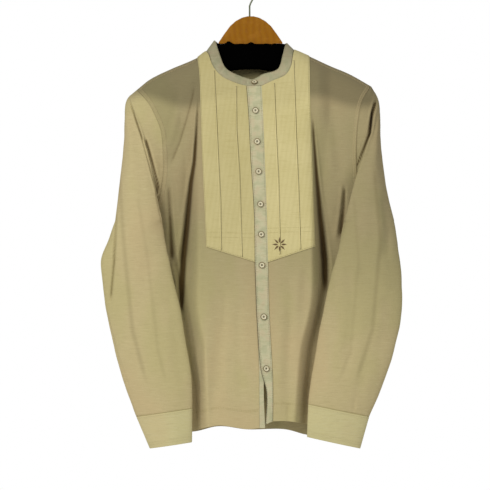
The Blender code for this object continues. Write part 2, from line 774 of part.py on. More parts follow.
def cutter(name, size, at):
    bpy.ops.mesh.primitive_cube_add(size=1, location=at * MM)
    box = bpy.context.object
    box.name = name
    box.data.transform(Matrix.Diagonal((size * MM).to_4d()))
    box.hide_render = True
    box.display_type = "WIRE"
    return box


def cut(obj, other):
    modifier = obj.modifiers.new("Cut", "BOOLEAN")
    modifier.operation = "DIFFERENCE"
    modifier.object = other


def make_wood(wood):
    """The neck board: a dome that rests on the pad, with a tenon below it and a bore for the hook."""
    right = [(-row["out"], row["down"]) for row in DOME]
    left = [(row["out"], row["down"]) for row in reversed(DOME)]
    tenon = [(TENON_HALF, WOOD_REST), (TENON_HALF, TENON_END)]
    tenon += [(-out, down) for out, down in reversed(tenon)]
    outline = right + left + tenon
    half = WOOD_THICK / 2
    points = [Vector((x, y, -down)) for y in (-half, half) for x, down in outline]
    count = len(outline)
    faces = [list(range(count)), list(reversed(range(count, 2 * count)))]
    faces += [[(i + 1) % count, i, i + count, (i + 1) % count + count] for i in range(count)]
    board = solid("hanger_wood", points, faces, wood)
    weights = board.data.attributes.new("bevel_weight_edge", "FLOAT", "EDGE")
    for edge in board.data.edges:
        a, b = (board.data.vertices[i].co for i in edge.vertices)
        over_pad = min(a.z, b.z) > -(WOOD_REST - 1) * MM
        weights.data[edge.index].value = 1.0 if over_pad and a.y == b.y else 0.0
    rounding = board.modifiers.new("Rounding", "BEVEL")
    rounding.width = WOOD_ROUNDING * MM
    rounding.segments = 2
    rounding.limit_method = "WEIGHT"
    radius = WIRE_RADIUS + SEAM_GAP
    bpy.ops.mesh.primitive_cylinder_add(vertices=16, radius=radius * MM, depth=BORE_DEPTH * MM)
    bore = bpy.context.object
    bore.name = "bore_cutter"
    bore.data.transform(Matrix.Translation(spot(STEM_X, STEM_END + SEAM_GAP - BORE_DEPTH / 2) * MM))
    bore.hide_render = True
    bore.display_type = "WIRE"
    cut(board, bore)


def pad_top(x):
    """The pad's top line: straight across the neck, then just under the shoulder cloth."""
    half, out = ("left" if x > 0 else "right"), abs(x)
    under_cloth = shoulder_down(half, out) + CLOTH + value(PAD, "out", "clear", out)
    return mix(PAD_TOP, under_cloth, smooth((out - PAD_NECK) / (PAD_SHOULDER - PAD_NECK)))


def make_pad(black):
    """The padded arms, lofted from end to end, with a slot for the wood's tenon."""
    points = []
    for i in range(PAD_STATIONS):
        x = mix(-PAD_HALF_LENGTH, PAD_HALF_LENGTH, i / (PAD_STATIONS - 1))
        end = min((PAD_HALF_LENGTH - abs(x)) / PAD_END_ROUNDING, 1.0)
        scale = math.sqrt(1 - (1 - end) ** 2) * (1 - PAD_END_SIZE) + PAD_END_SIZE
        top, bottom = pad_top(x), value(PAD, "out", "bottom", abs(x))
        thick = value(PAD, "out", "half_thick", abs(x)) * scale
        centre, tall = (top + bottom) / 2, (bottom - top) / 2 * scale
        for k in range(PAD_SIDES):
            angle = math.tau * k / PAD_SIDES
            points.append(Vector((x, math.sin(angle) * thick, math.cos(angle) * tall - centre)))
    faces = [list(range(PAD_SIDES))[::-1], list(range(len(points) - PAD_SIDES, len(points)))]
    for i in range(PAD_STATIONS - 1):
        for k in range(PAD_SIDES):
            a, b = i * PAD_SIDES + k, i * PAD_SIDES + (k + 1) % PAD_SIDES
            faces.append([a, b, b + PAD_SIDES, a + PAD_SIDES])
    arms = solid("hanger_pad", points, faces, black)
    slot_size = Vector((2 * (TENON_HALF + SEAM_GAP), WOOD_THICK + 2 * SEAM_GAP, SLOT_DEPTH))
    cut(arms, cutter("slot_cutter", slot_size, spot(0, TENON_END + SEAM_GAP - SLOT_DEPTH / 2)))


def main():
    for obj in list(bpy.data.objects):
        bpy.data.objects.remove(obj)
    jersey = finish("jersey", (0.39, 0.33, 0.18), 0.9)
    pale = finish("bib_cloth", (0.63, 0.56, 0.26), 0.85)
    beige = finish("beige_cloth", (0.48, 0.44, 0.28), 0.85)
    cuff_cloth = finish("cuff_cloth", (0.55, 0.51, 0.27), 0.9)
    collar = make_cloths(jersey, pale, beige, cuff_cloth)
    make_buttons(collar, finish("pearl", (0.75, 0.7, 0.55), 0.3))
    make_hook(finish("wire", (0.13, 0.14, 0.09), 0.35, 1.0))
    make_wood(finish("wood", (0.31, 0.13, 0.01), 0.4))
    make_pad(finish("pad_cloth", (0.01, 0.01, 0.01), 0.8))


main()
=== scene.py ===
import json
import math

import bpy
from mathutils import Matrix, Vector, noise
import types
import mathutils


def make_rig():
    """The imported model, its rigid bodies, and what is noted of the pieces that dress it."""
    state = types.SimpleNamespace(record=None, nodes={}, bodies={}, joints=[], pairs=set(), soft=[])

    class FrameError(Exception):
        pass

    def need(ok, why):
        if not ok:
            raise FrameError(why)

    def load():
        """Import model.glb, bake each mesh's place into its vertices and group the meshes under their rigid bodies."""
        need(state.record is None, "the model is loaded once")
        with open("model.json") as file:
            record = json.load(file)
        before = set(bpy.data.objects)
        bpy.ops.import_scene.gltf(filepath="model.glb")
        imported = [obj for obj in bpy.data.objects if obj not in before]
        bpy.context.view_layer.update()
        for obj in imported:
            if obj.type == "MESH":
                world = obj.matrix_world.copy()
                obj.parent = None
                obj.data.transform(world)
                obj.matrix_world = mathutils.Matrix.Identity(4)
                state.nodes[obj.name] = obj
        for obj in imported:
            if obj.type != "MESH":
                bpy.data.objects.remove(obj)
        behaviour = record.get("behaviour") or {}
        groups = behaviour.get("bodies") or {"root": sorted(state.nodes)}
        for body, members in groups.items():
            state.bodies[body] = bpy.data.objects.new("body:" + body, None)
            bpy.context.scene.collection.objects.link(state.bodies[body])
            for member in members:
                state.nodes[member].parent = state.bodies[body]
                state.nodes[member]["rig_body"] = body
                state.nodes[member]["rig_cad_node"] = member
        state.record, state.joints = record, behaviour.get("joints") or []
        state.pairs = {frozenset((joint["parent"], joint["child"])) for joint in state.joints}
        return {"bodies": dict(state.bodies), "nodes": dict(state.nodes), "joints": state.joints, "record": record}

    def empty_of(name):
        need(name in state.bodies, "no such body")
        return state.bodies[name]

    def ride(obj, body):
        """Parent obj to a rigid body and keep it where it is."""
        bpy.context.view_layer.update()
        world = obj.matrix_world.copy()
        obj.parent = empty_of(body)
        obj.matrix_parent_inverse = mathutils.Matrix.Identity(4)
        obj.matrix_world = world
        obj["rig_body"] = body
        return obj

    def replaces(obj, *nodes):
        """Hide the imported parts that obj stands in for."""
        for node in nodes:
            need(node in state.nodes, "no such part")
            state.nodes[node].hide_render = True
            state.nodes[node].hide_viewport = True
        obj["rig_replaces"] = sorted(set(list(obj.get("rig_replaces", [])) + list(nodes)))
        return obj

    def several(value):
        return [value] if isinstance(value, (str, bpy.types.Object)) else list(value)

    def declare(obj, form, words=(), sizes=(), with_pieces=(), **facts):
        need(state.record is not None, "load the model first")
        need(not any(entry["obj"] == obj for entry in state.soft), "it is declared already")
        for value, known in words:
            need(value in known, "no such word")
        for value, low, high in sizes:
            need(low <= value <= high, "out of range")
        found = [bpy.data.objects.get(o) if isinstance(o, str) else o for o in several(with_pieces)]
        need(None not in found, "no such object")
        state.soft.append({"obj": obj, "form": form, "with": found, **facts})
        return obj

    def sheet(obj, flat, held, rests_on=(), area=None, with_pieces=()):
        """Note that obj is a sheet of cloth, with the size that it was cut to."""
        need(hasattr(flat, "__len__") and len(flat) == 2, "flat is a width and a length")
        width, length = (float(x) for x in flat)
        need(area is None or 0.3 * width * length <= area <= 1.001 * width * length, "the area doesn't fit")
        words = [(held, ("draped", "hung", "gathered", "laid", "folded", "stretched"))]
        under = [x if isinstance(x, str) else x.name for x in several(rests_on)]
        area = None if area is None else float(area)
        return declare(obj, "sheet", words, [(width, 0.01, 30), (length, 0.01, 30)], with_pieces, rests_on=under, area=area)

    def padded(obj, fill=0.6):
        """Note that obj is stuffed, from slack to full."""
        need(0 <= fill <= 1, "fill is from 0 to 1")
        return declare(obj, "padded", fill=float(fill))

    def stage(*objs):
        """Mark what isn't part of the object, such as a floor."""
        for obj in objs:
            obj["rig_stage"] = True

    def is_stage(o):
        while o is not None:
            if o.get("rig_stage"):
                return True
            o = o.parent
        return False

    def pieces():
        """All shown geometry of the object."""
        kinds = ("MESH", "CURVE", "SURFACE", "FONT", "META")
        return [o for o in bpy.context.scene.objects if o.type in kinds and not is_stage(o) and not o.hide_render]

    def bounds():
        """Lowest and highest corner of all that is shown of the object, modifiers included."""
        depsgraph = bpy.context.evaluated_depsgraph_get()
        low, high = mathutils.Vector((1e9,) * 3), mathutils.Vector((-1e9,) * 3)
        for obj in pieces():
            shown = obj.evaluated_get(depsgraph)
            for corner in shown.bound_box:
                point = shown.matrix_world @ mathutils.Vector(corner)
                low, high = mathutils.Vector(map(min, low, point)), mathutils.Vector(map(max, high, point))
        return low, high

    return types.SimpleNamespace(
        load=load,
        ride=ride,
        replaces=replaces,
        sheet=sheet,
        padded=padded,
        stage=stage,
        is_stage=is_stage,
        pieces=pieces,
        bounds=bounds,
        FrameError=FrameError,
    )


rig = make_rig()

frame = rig.load()
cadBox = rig.bounds()
print("frame loaded")

# All sizes are in millimetres: "out" from the middle, "down" from the hook's inside top.
mm = 0.001
bodySides = {"right": -1, "left": 1}  # the wearer's
photoScale = {"mmPerPixel": 1.9, "middleX": 250.5, "topY": -26}

cloth = {
    "thick": 0.8, "bibThick": 0.6, "collarThick": 1.6, "cuffThick": 1.1, "placketThick": 1.0, "bibLift": 1.1,
    "placketLift": 1.7, "seamDip": 0.9, "sideDip": 0.45, "rimDip": 0.6, "bandDip": 0.4, "bibDip": 0.35,
    "placketHemDip": 0.3, "seamWidth": 2.2, "nearShare": 0.45, "sharpAngle": 50,
}
spans = {
    "neck": 40, "bibShoulder": 6, "shoulder": 60, "armhole": 56, "bibSide": 8, "lower": 72,
    "placket": 8, "collar": 12, "sleeve": 96, "cuff": 18,
}
sectionSpans = (20, 18, 20, 24, 24, 24, 14, 18)
armholeEase = 1.5
upperEase = 1.6


def table(columns, *rows):
    names = columns.split()
    return [dict(zip(names, row)) for row in rows]


depths = table(
    "down front side back",
    (130, 30, 26, 26), (214, 40, 31, 33), (300, 45, 35, 38), (380, 47, 30, 40), (456, 48, 17, 40),
    (540, 50, 12, 38), (650, 50, 12, 36), (760, 48, 12, 35), (880, 46, 12, 34),
)

halves = {
    "right": {
        "neck": table("out down", (7, 214), (26, 209), (55, 195), (72, 175), (80, 152), (84.6, 146.3)),
        "shoulder": table(
            "out down", (0, 138), (60, 140), (84.6, 146.3), (103.6, 159.6), (152, 180.3), (191, 199.5), (217, 220)
        ),
        "bibAtShoulder": 100.7,
        "armhole": table("out down", (196, 243), (182, 268), (170, 299), (166, 345), (167, 390), (176, 430)),
        "side": table("down out", (468, 195), (487, 188), (560, 198), (700, 203), (873, 188)),
        "bibEdge": table("out down", (97, 190), (92.3, 323), (83.4, 519)),
        "bibEdgeAtHem": (84, 861),
        "bibLineAtSide": 505,
        "frontHem": table("out down", (7, 864), (34, 860), (61, 857)),
        "outerHem": table("out down", (110, 868), (150, 872)),
        "plateau": table("down edge", (250, 125), (357, 112), (541, 110), (635, 110), (713, 98), (880, 90)),
        "sleeveFold": table("out down", (231, 242), (206, 313), (189, 374)),
        "sleeveOuter": table("out down", (236, 240), (240, 313), (246, 374)),
        "sleeve": table(
            "down inner outer front back seam valley slant",
            (468, 168, 256, 60, 4, 0.307, 0.40, 0), (500, 161, 268, 60, 10, 0.49, 0.47, 0),
            (541, 152, 284, 60, 17, 0.40, 0.26, 0), (575, 146, 283, 59, 20, 0.36, 0.10, 0),
            (642, 130, 274, 58, 20, 0.30, 0.10, 0), (713, 118, 258, 56, 20, 0.25, 0.10, 4),
            (775, 109, 238, 56, 20, 0.22, 0.10, 10), (824, 109, 218, 55, 22, 0.20, 0.10, 16),
            (889, 111, 191, 53, 25, 0.20, 0.10, 12),
        ),
        "cuffDown": 824,
        "tucks": (  # by pixels of the photograph
            ((235.9, 86.5), (236.3, 130), (239.1, 172), (241.9, 257)),
            ((213.9, 71), (216.7, 130), (220.2, 200), (221.1, 250.5)),
        ),
    },
    "left": {
        "neck": table("out down", (21, 214), (42, 204), (68, 191), (77, 176), (81, 152), (82.8, 143.5)),
        "shoulder": table(
            "out down", (0, 138), (60, 137), (82.8, 143.5), (111.9, 155.8), (150, 173.5), (189, 190), (229.7, 213)
        ),
        "bibAtShoulder": 111.9,
        "armhole": table("out down", (213, 241), (205, 280), (202, 320), (202, 362), (206, 405), (214, 438)),
        "side": table("down out", (468, 228), (487, 220), (560, 222), (700, 214), (874, 196)),
        "bibEdge": table("out down", (112.5, 220), (115.5, 330), (122.4, 518)),
        "bibEdgeAtHem": (128, 860),
        "bibLineAtSide": 505,
        "frontHem": table("out down", (71, 849), (106, 855)),
        "outerHem": table("out down", (150, 866),),
        "plateau": table("down edge", (250, 140), (381, 128), (541, 128), (621, 126), (713, 106), (880, 92)),
        "sleeveFold": table("out down", (239, 262), (223, 318), (203, 377)),
        "sleeveOuter": table("out down", (243, 238), (247, 318), (253, 377)),
        "sleeve": table(
            "down inner outer front back seam valley slant",
            (468, 178, 271, 60, 4, 0.538, 0.60, 0), (500, 169, 278, 60, 10, 0.70, 0.60, 0),
            (545, 158, 284, 60, 17, 0.50, 0.30, 0), (575, 150, 287, 59, 20, 0.36, 0.10, 0),
            (640, 136, 288, 58, 20, 0.30, 0.10, 0), (703, 124, 275, 56, 20, 0.25, 0.10, 4),
            (772, 112, 251, 56, 20, 0.22, 0.10, 12), (816, 108, 226, 55, 22, 0.20, 0.10, 24),
            (879, 107, 208, 53, 25, 0.20, 0.10, 22),
        ),
        "cuffDown": 816,
        "tucks": (
            ((273.8, 83.5), (275.6, 130), (278.4, 186), (279.8, 254.5)),
            ((293.4, 61), (295.5, 130), (298, 186), (300.1, 249.5)),
        ),
    },
}

centreLine = table(
    "down underSeam underFree freeEdge seamEdge",
    (214, -7, 21, -7, 21), (270, -3, 24, -3, 24), (350, 1, 27, 1, 27), (456, 7.5, 31, 7.5, 31),
    (548, 9, 33, 9, 33), (600, 10.6, 33.4, 10.6, 34.1), (650, 12.5, 33, 12.5, 35.5), (749, 16, 26, 20, 41),
    (796, 16.5, 25, 31, 42.4), (862, 17, 27.6, 28.3, 41.8),
)
frontEnds = {"bib": 548, "right": 862, "left": 849, "placket": 855}
bodyForm = {
    "shoulderRounding": 40, "plateauSlope": 14, "frontClosing": 5, "backClosing": 3, "underarmSpread": 0.7,
    "nearStep": 1.5, "tiny": 0.0001,
}
backNeck = table("x down", (-62, 160), (-31, 168), (0, 170), (31, 167), (62, 159))
backHem = table("x down", (-107, 871), (-61, 861), (-7, 867), (66, 867), (106, 877), (150, 881))
collarTop = [
    table("x down y", (-7, 197.5, -20), (-21, 192.5, -21), (-46, 179, -25), (-59, 151, -23), (-66, 130, -11)),
    table("x down y", (-69, 125, 0), (-64, 129, 14), (-48, 135, 24), (-25, 137, 27), (0, 137.5, 28)),
    table("x down y", (0, 137.5, 28), (25, 137, 27), (48, 135, 24), (64, 132, 14), (69, 130, 0)),
    table("x down y", (69, 130, 0), (66, 136, -11), (61, 153.5, -23), (51.5, 180, -25), (27, 188.7, -21)),
    table("x down y", (21, 191, -21), (12, 196, -20.5), (3, 199.5, -20), (-7, 197.5, -20)),
]

# The largest troughs, as the solids have them.
troughs = table(
    "cloth x down endX endDown width depth",
    ("front", -107, 219, -155, 367, 13, 5), ("front", -107, 300, -126, 560, 14, 7),
    ("front", 119, 270, 138, 560, 13, 6), ("front", -60, 600, -72, 850, 13, 4),
    ("front", 80, 640, 70, 850, 14, 4), ("back", -120, 260, -90, 700, 20, 8),
    ("back", 115, 280, 95, 740, 22, 8), ("back", 10, 420, -5, 860, 18, 6), ("back", -55, 560, -60, 860, 14, 5),
)

# Finer creases, by pixels of the photograph. Positive depths are troughs, and negative ones are ridges.
# Lip is a ridge beside the trough, on its right where positive and on its left where negative.
creases = table(
    "cloth line width depth lip",
    # right front
    (
        "front", ((199, 92), (197, 125), (194.4, 162), (191, 183), (186.7, 226), (182.9, 259), (181.5, 322)),
        (1.6, 7), 9, -1,
    ),
    ("front", ((196, 84), (190, 108), (180, 142), (169.5, 167)), (1.8, 2.4), 2.2, 1),
    ("front", ((175.5, 258), (179.5, 285), (182, 314)), (5, 3), 6, -1),
    ("front", ((168.4, 184), (169.8, 215), (172.4, 266)), (3, 6), 7, 1),
    ("front", ((178, 92), (172, 118), (163, 150)), (6, 7), 1.2, 1),
    ("front", ((181, 306), (188, 345), (195, 395)), (2.6, 2.4), 1.5, -1),
    ("front", ((192.5, 350), (196, 370), (200, 396)), (2.2, 2.6), 1.6, 1),
    ("front", ((203, 330), (199, 375), (197, 428)), (5, 7), 2.6, 1),
    ("front", ((226, 285), (222, 330), (217, 400)), (8, 9), 1.6, -1),
    ("front", ((239, 300), (238, 350), (241, 400)), (8, 10), 1.2, 1),
    # left front
    ("front", ((312.6, 112), (313.5, 135), (316.5, 175), (320.4, 218), (325, 260), (326, 306)), (1.4, 8), 9, 1),
    ("front", ((330, 98), (336, 140), (341, 180)), (9, 9), 2.0, -1),
    ("front", ((344.8, 186), (343.6, 208), (340.6, 240)), (3.2, 5.4), 7, -1),
    ("front", ((326, 301), (321, 345), (313, 400)), (3, 3), 0.6, 1),
    ("front", ((306, 262), (303, 320), (300, 380)), (8, 10), 1.8, -1),
    ("front", ((290, 270), (288, 330), (286, 395)), (8, 9), 1.3, 1),
    ("front", ((288, 404), (288.4, 424)), (3.5, 3.5), 1.4, 1),
    # back
    ("back", ((150, 110), (172, 200), (190, 330), (196, 420)), (9, 12), 4, 1),
    ("back", ((350, 112), (331, 210), (315, 330), (309, 425)), (9, 12), 4, -1),
    ("back", ((225, 90), (229, 180), (238, 300)), (11, 12), 2.5, 1),
    ("back", ((281, 95), (276, 190), (268, 320)), (11, 12), 2.5, -1),
    ("back", ((205, 180), (212, 300), (216, 425)), (9, 10), 2.6, -1),
    ("back", ((296, 230), (292, 330), (290, 425)), (9, 10), 2.4, 1),
    # right sleeve
    ("sleeveRightFront", ((117, 208), (115.8, 230), (114.5, 262), (110.4, 307)), (2.2, 3), 4.5, 1),
    (
        "sleeveRightFront", ((126.5, 94), (133.4, 112), (141, 134), (149.5, 164), (157, 192), (163.5, 226)),
        (1.5, 2.6), 5.5, 1,
    ),
    ("sleeveRightFront", ((144.5, 136), (148.8, 150), (152.8, 165), (157.6, 184), (160, 197)), (3.2, 3.6), 7, -1),
    ("sleeveRightFront", ((150, 250), (140, 300), (139, 350)), (12, 14), 1.0, 1),
    ("sleeveRightFront", ((128, 262), (130, 300), (150, 340)), (13, 14), 0.9, -1),
    ("sleeveRightFront", ((170, 290), (174, 330), (184, 398)), (10, 12), 1.0, 1),
    ("sleeveRightFront", ((106.5, 312), (116, 350), (131, 392)), (2.4, 2.4), 1.0, 1),
    ("sleeveRightBack", ((118, 150), (124, 240), (133, 330), (153, 405)), (9, 10), 3, 1),
    ("sleeveRightBack", ((135, 180), (148, 260), (158, 350), (172, 404)), (9, 10), 2.6, -1),
    # left sleeve
    (
        "sleeveLeftFront", ((377.8, 95), (372, 114), (369, 134), (362, 152), (352, 178), (345, 208), (339.8, 240)),
        (2.6, 2.2), 7, -1,
    ),
    ("sleeveLeftFront", ((375.6, 101), (371, 118), (368.4, 138)), (3, 3.4), 4, 1),
    ("sleeveLeftFront", ((379, 150), (374, 190), (372, 240)), (12, 13), 0.8, 1),
    ("sleeveLeftFront", ((384, 195), (388, 230), (385, 262)), (8, 9), 2.4, -1),
    ("sleeveLeftFront", ((350, 244), (362, 268), (383, 296)), (8, 10), 1.6, 1),
    ("sleeveLeftFront", ((346, 262), (352, 310), (345, 370)), (9, 10), 2, -1),
    ("sleeveLeftFront", ((376, 300), (366, 350), (354, 410)), (11, 9), 1.2, 1),
    ("sleeveLeftFront", ((389, 290), (380, 340), (366, 380)), (10, 12), 0.8, -1),
    ("sleeveLeftFront", ((354, 398), (354, 411)), (2.4, 2.4), 1.3, 1),
    ("sleeveLeftBack", ((372, 150), (380, 240), (372, 330), (348, 405)), (9, 10), 3, 1),
    ("sleeveLeftBack", ((352, 180), (358, 260), (350, 350), (330, 402)), (9, 10), 2.6, -1),
    # collar
    ("collar", ((224, 68.6), (219.6, 73.4)), (1.6, 1.6), 1.5, 1),
    ("collar", ((276, 66), (280, 72)), (1.6, 1.6), 1.5, -1),
    ("collar", ((247.2, 80), (247.4, 88)), (1.0, 1.0), 1.3, 1),
)

creaseForm = {
    "reach": 3.5, "startRate": 8, "startShare": 0.1, "endRate": 6, "endShare": 0.05, "thinning": 0.7,
    "lipAway": 1.7, "lipWide": 0.9, "lipShare": 0.38,
}
troughFade = 4
collarFront = 5  # the collar's creases lie before this

ripples = table(  # a wavelength across, one down and a height, for each cloth's slack
    "cloth across down height",
    ("front", 46, 120, 1.3), ("front", 17, 34, 0.35), ("back", 60, 150, 1.8), ("back", 22, 40, 0.45),
    ("sleeve", 34, 60, 1.3), ("sleeve", 14, 20, 0.4), ("collar", 26, 26, 0.8), ("collar", 11, 9, 1.1),
)


def photoSpot(x, y):
    scale = photoScale["mmPerPixel"]
    return Vector(((x - photoScale["middleX"]) * scale, (y - photoScale["topY"]) * scale))


def value(rows, key, column, at):
    if at <= rows[0][key]:
        return rows[0][column]
    if at >= rows[-1][key]:
        return rows[-1][column]
    last = len(rows) - 1
    index = next(i for i in range(last) if at <= rows[i + 1][key])

    def slope(i):
        low, high = rows[max(i - 1, 0)], rows[min(i + 1, last)]
        return (high[column] - low[column]) / (high[key] - low[key])

    low, high = rows[index], rows[index + 1]
    span = high[key] - low[key]
    t = (at - low[key]) / span
    start = (1 + 2 * t) * (1 - t) ** 2 * low[column] + t * (1 - t) ** 2 * span * slope(index)
    return start + t * t * (3 - 2 * t) * high[column] + t * t * (t - 1) * span * slope(index + 1)


def smooth(t):
    t = min(max(t, 0.0), 1.0)
    return t * t * (3 - 2 * t)


def mix(a, b, t):
    return a + (b - a) * t


def bend(points, t):
    knots = [0.0]
    for a, b in zip(points, points[1:]):
        knots.append(knots[-1] + max((b - a).length, 0.01) ** 0.5)
    at = mix(knots[1], knots[2], t)

    def share(low, high):
        return (at - knots[low]) / (knots[high] - knots[low])

    first = [mix(points[i], points[i + 1], share(i, i + 1)) for i in range(3)]
    second = [mix(first[i], first[i + 1], share(i, i + 2)) for i in range(2)]
    return mix(second[0], second[1], share(1, 2))


def section(points, counts, closed=False):
    result = []
    for i, steps in enumerate(counts):
        before = points[i - 1] if i else (points[-2] if closed else 2 * points[0] - points[1])
        if i + 2 < len(points):
            after = points[i + 2]
        else:
            after = points[1] if closed else 2 * points[-1] - points[-2]
        quad = [before, points[i], points[i + 1], after]
        result += [points[i]] + [bend(quad, step / steps) for step in range(1, steps)]
    return result + [points[-1]]


def along(points, steps, ease=1.0):
    dense = section(points, [40] * (len(points) - 1))
    lengths = [0.0]
    for a, b in zip(dense, dense[1:]):
        lengths.append(lengths[-1] + (b - a).length)
    result = [points[0]]
    k = 1
    for i in range(1, steps):
        wanted = lengths[-1] * (i / steps) ** ease
        while lengths[k] < wanted:
            k += 1
        result.append(mix(dense[k - 1], dense[k], (wanted - lengths[k - 1]) / (lengths[k] - lengths[k - 1])))
    return result + [points[-1]]


def straight(start, end, steps):
    return [start] + [mix(start, end, i / steps) for i in range(1, steps)] + [end]


def spot(x, down):
    return Vector((x, 0.0, -down))


def coons(top, bottom, left, right):
    rows = []
    for i in range(len(left)):
        v = i / (len(left) - 1)
        row = [left[i]]
        for j in range(1, len(top) - 1):
            u = j / (len(top) - 1)
            across = mix(left[i], right[i], u) + mix(top[j], bottom[j], v)
            row.append(across - mix(mix(top[0], top[-1], u), mix(bottom[0], bottom[-1], u), v))
        rows.append(row + [right[i]])
    rows[0] = list(top)
    rows[-1] = list(bottom)
    return rows


def creaseShape(row):
    places = [photoSpot(*pair) for pair in row["line"]]
    lengths = [0.0]
    for a, b in zip(places, places[1:]):
        lengths.append(lengths[-1] + (b - a).length)
    reach = creaseForm["reach"] * max(row["width"])
    low = (min(p.x for p in places) - reach, min(p.y for p in places) - reach)
    high = (max(p.x for p in places) + reach, max(p.y for p in places) + reach)
    return {**row, "places": places, "lengths": lengths, "low": low, "high": high}


creaseShapes = {}
for creaseRow in creases:
    creaseShapes.setdefault(creaseRow["cloth"], []).append(creaseShape(creaseRow))


def creaseDepth(name, x, down):
    # how far in the finer creases put the cloth
    form, total = creaseForm, 0.0
    for row in creaseShapes.get(name, ()):
        if not (row["low"][0] < x < row["high"][0] and row["low"][1] < down < row["high"][1]):
            continue
        here = Vector((x, down))
        best = None
        for k in range(len(row["places"]) - 1):
            start, end = row["places"][k], row["places"][k + 1]
            line = end - start
            at = min(max((here - start).dot(line) / line.length_squared, 0.0), 1.0)
            off = here - start - line * at
            if best is None or off.length < best[0]:
                side = 1 if line.x * off.y - line.y * off.x < 0 else -1
                best = (off.length, (row["lengths"][k] + line.length * at) / row["lengths"][-1], side)
        away, at, side = best
        width = mix(row["width"][0], row["width"][1], at)
        startFade = smooth(at * form["startRate"] + form["startShare"])
        endFade = smooth((1 - at) * form["endRate"] + form["endShare"])
        ends = startFade * endFade * (width / max(row["width"])) ** form["thinning"]
        near = math.exp(-((away / width) ** 2))
        lip = (away - form["lipAway"] * width) / (form["lipWide"] * width)
        ridge = math.exp(-(lip**2)) if side == row["lip"] else 0.0
        total += row["depth"] * ends * (near - form["lipShare"] * ridge)
    return total


def rippleHeight(name, x, y, down):
    total = 0.0
    for row in ripples:
        if row["cloth"] == name:
            at = Vector((x / row["across"], y / row["across"] + 7.3, down / row["down"]))
            total += row["height"] * noise.noise(at)
    return total


def shoulderDown(half, out):
    return value(halves[half]["shoulder"], "out", "down", out)


def sideReach(half, down):
    side = halves[half]["side"]
    above = side[0]["down"] - down
    return side[0]["out"] + bodyForm["underarmSpread"] * above if above > 0 else value(side, "down", "out", down)


def troughDepth(name, x, down):
    total = 0.0
    for row in troughs:
        if row["cloth"] != name:
            continue
        start = Vector((row["x"], row["down"]))
        line = Vector((row["endX"], row["endDown"])) - start
        at = (Vector((x, down)) - start).dot(line) / line.length_squared
        away = (Vector((x, down)) - start - line * at).length / row["width"]
        ends = smooth(at * troughFade + 0.5) * smooth((1 - at) * troughFade + 0.5)
        total += row["depth"] * math.exp(-away * away) * ends
    return total


def bodyPoint(name, x, down):
    # the outside of the front or back, with its folds
    half, out = ("left" if x > 0 else "right"), abs(x)
    drop = (down - shoulderDown(half, out)) / bodyForm["shoulderRounding"]
    reach = out / sideReach(half, down)
    if drop < bodyForm["tiny"] or reach > 1 - bodyForm["tiny"]:
        return Vector((x, 0.0, -down))
    rounding = math.sqrt(1 - (1 - min(drop, 1.0)) ** 2)
    if name == "front":
        edge, slope = value(halves[half]["plateau"], "down", "edge", down), bodyForm["plateauSlope"]
        middle = 1 - smooth((out - edge + slope) / (2 * slope))
        depth = mix(value(depths, "down", "side", down), value(depths, "down", "front", down), middle)
        closing = math.sqrt(1 - reach ** bodyForm["frontClosing"])
    else:
        depth = value(depths, "down", "back", down)
        closing = math.sqrt(1 - reach ** bodyForm["backClosing"])
    slack = troughDepth(name, x, down) + creaseDepth(name, x, down) - rippleHeight(name, x, 0, down)
    depth = (depth - slack) * rounding * closing
    return Vector((x, -depth if name == "front" else depth, -down))


def bodySide(name, x, down):
    # a point of the body and the way that the cloth faces there
    at, step = bodyPoint(name, x, down), bodyForm["nearStep"]
    run = bodyPoint(name, x + step, down) - bodyPoint(name, x - step, down)
    rise = bodyPoint(name, x, down - step) - bodyPoint(name, x, down + step)
    facing = run.cross(rise).normalized()
    return at, facing if name == "front" else -facing


def lay(name, net):
    return [[bodyPoint(name, point.x, -point.z) for point in row] for row in net]


def halfEdges(half):
    sizes, sign = halves[half], bodySides[half]

    def spots(rows):
        return [spot(sign * row["out"], row["down"]) for row in rows]

    def shoulder(start, end, steps):
        outs = [mix(start, end, i / steps) for i in range(steps + 1)]
        return [spot(sign * out, shoulderDown(half, out)) for out in outs]

    def side(start, end, steps):
        downs = [mix(start, end, i / steps) for i in range(steps + 1)]
        return [spot(sign * sideReach(half, down), down) for down in downs]

    neck = along(spots(sizes["neck"]), spans["neck"])
    neck[0] = spot(centreLine[0]["underSeam" if half == "right" else "seamEdge"], -neck[0].z)
    inner = shoulder(sizes["neck"][-1]["out"], sizes["bibAtShoulder"], spans["bibShoulder"])
    outer = shoulder(sizes["bibAtShoulder"], sizes["shoulder"][-1]["out"], spans["shoulder"])
    neck[-1] = inner[0]
    outer[0] = inner[-1]
    underarm, hemDown = sizes["side"][0]["down"], sizes["side"][-1]["down"]
    upperSide = side(underarm, sizes["bibLineAtSide"], spans["bibSide"])
    lowerSide = side(sizes["bibLineAtSide"], hemDown, spans["lower"])
    armhole = along([outer[-1]] + spots(sizes["armhole"]) + [upperSide[0]], spans["armhole"], armholeEase)
    return {
        "neck": neck, "shoulderInner": inner, "shoulderOuter": outer, "armhole": armhole,
        "sideUpper": upperSide, "sideLower": lowerSide,
    }


def centrePoints(column, bottom):
    upper = spans["armhole"] + spans["bibSide"]
    top = centreLine[0]["down"]
    downs = [mix(top, frontEnds["bib"], (i / upper) ** upperEase) for i in range(upper)]
    downs += [mix(frontEnds["bib"], bottom, i / spans["lower"]) for i in range(spans["lower"] + 1)]
    return [spot(value(centreLine, "down", column, down), down) for down in downs]


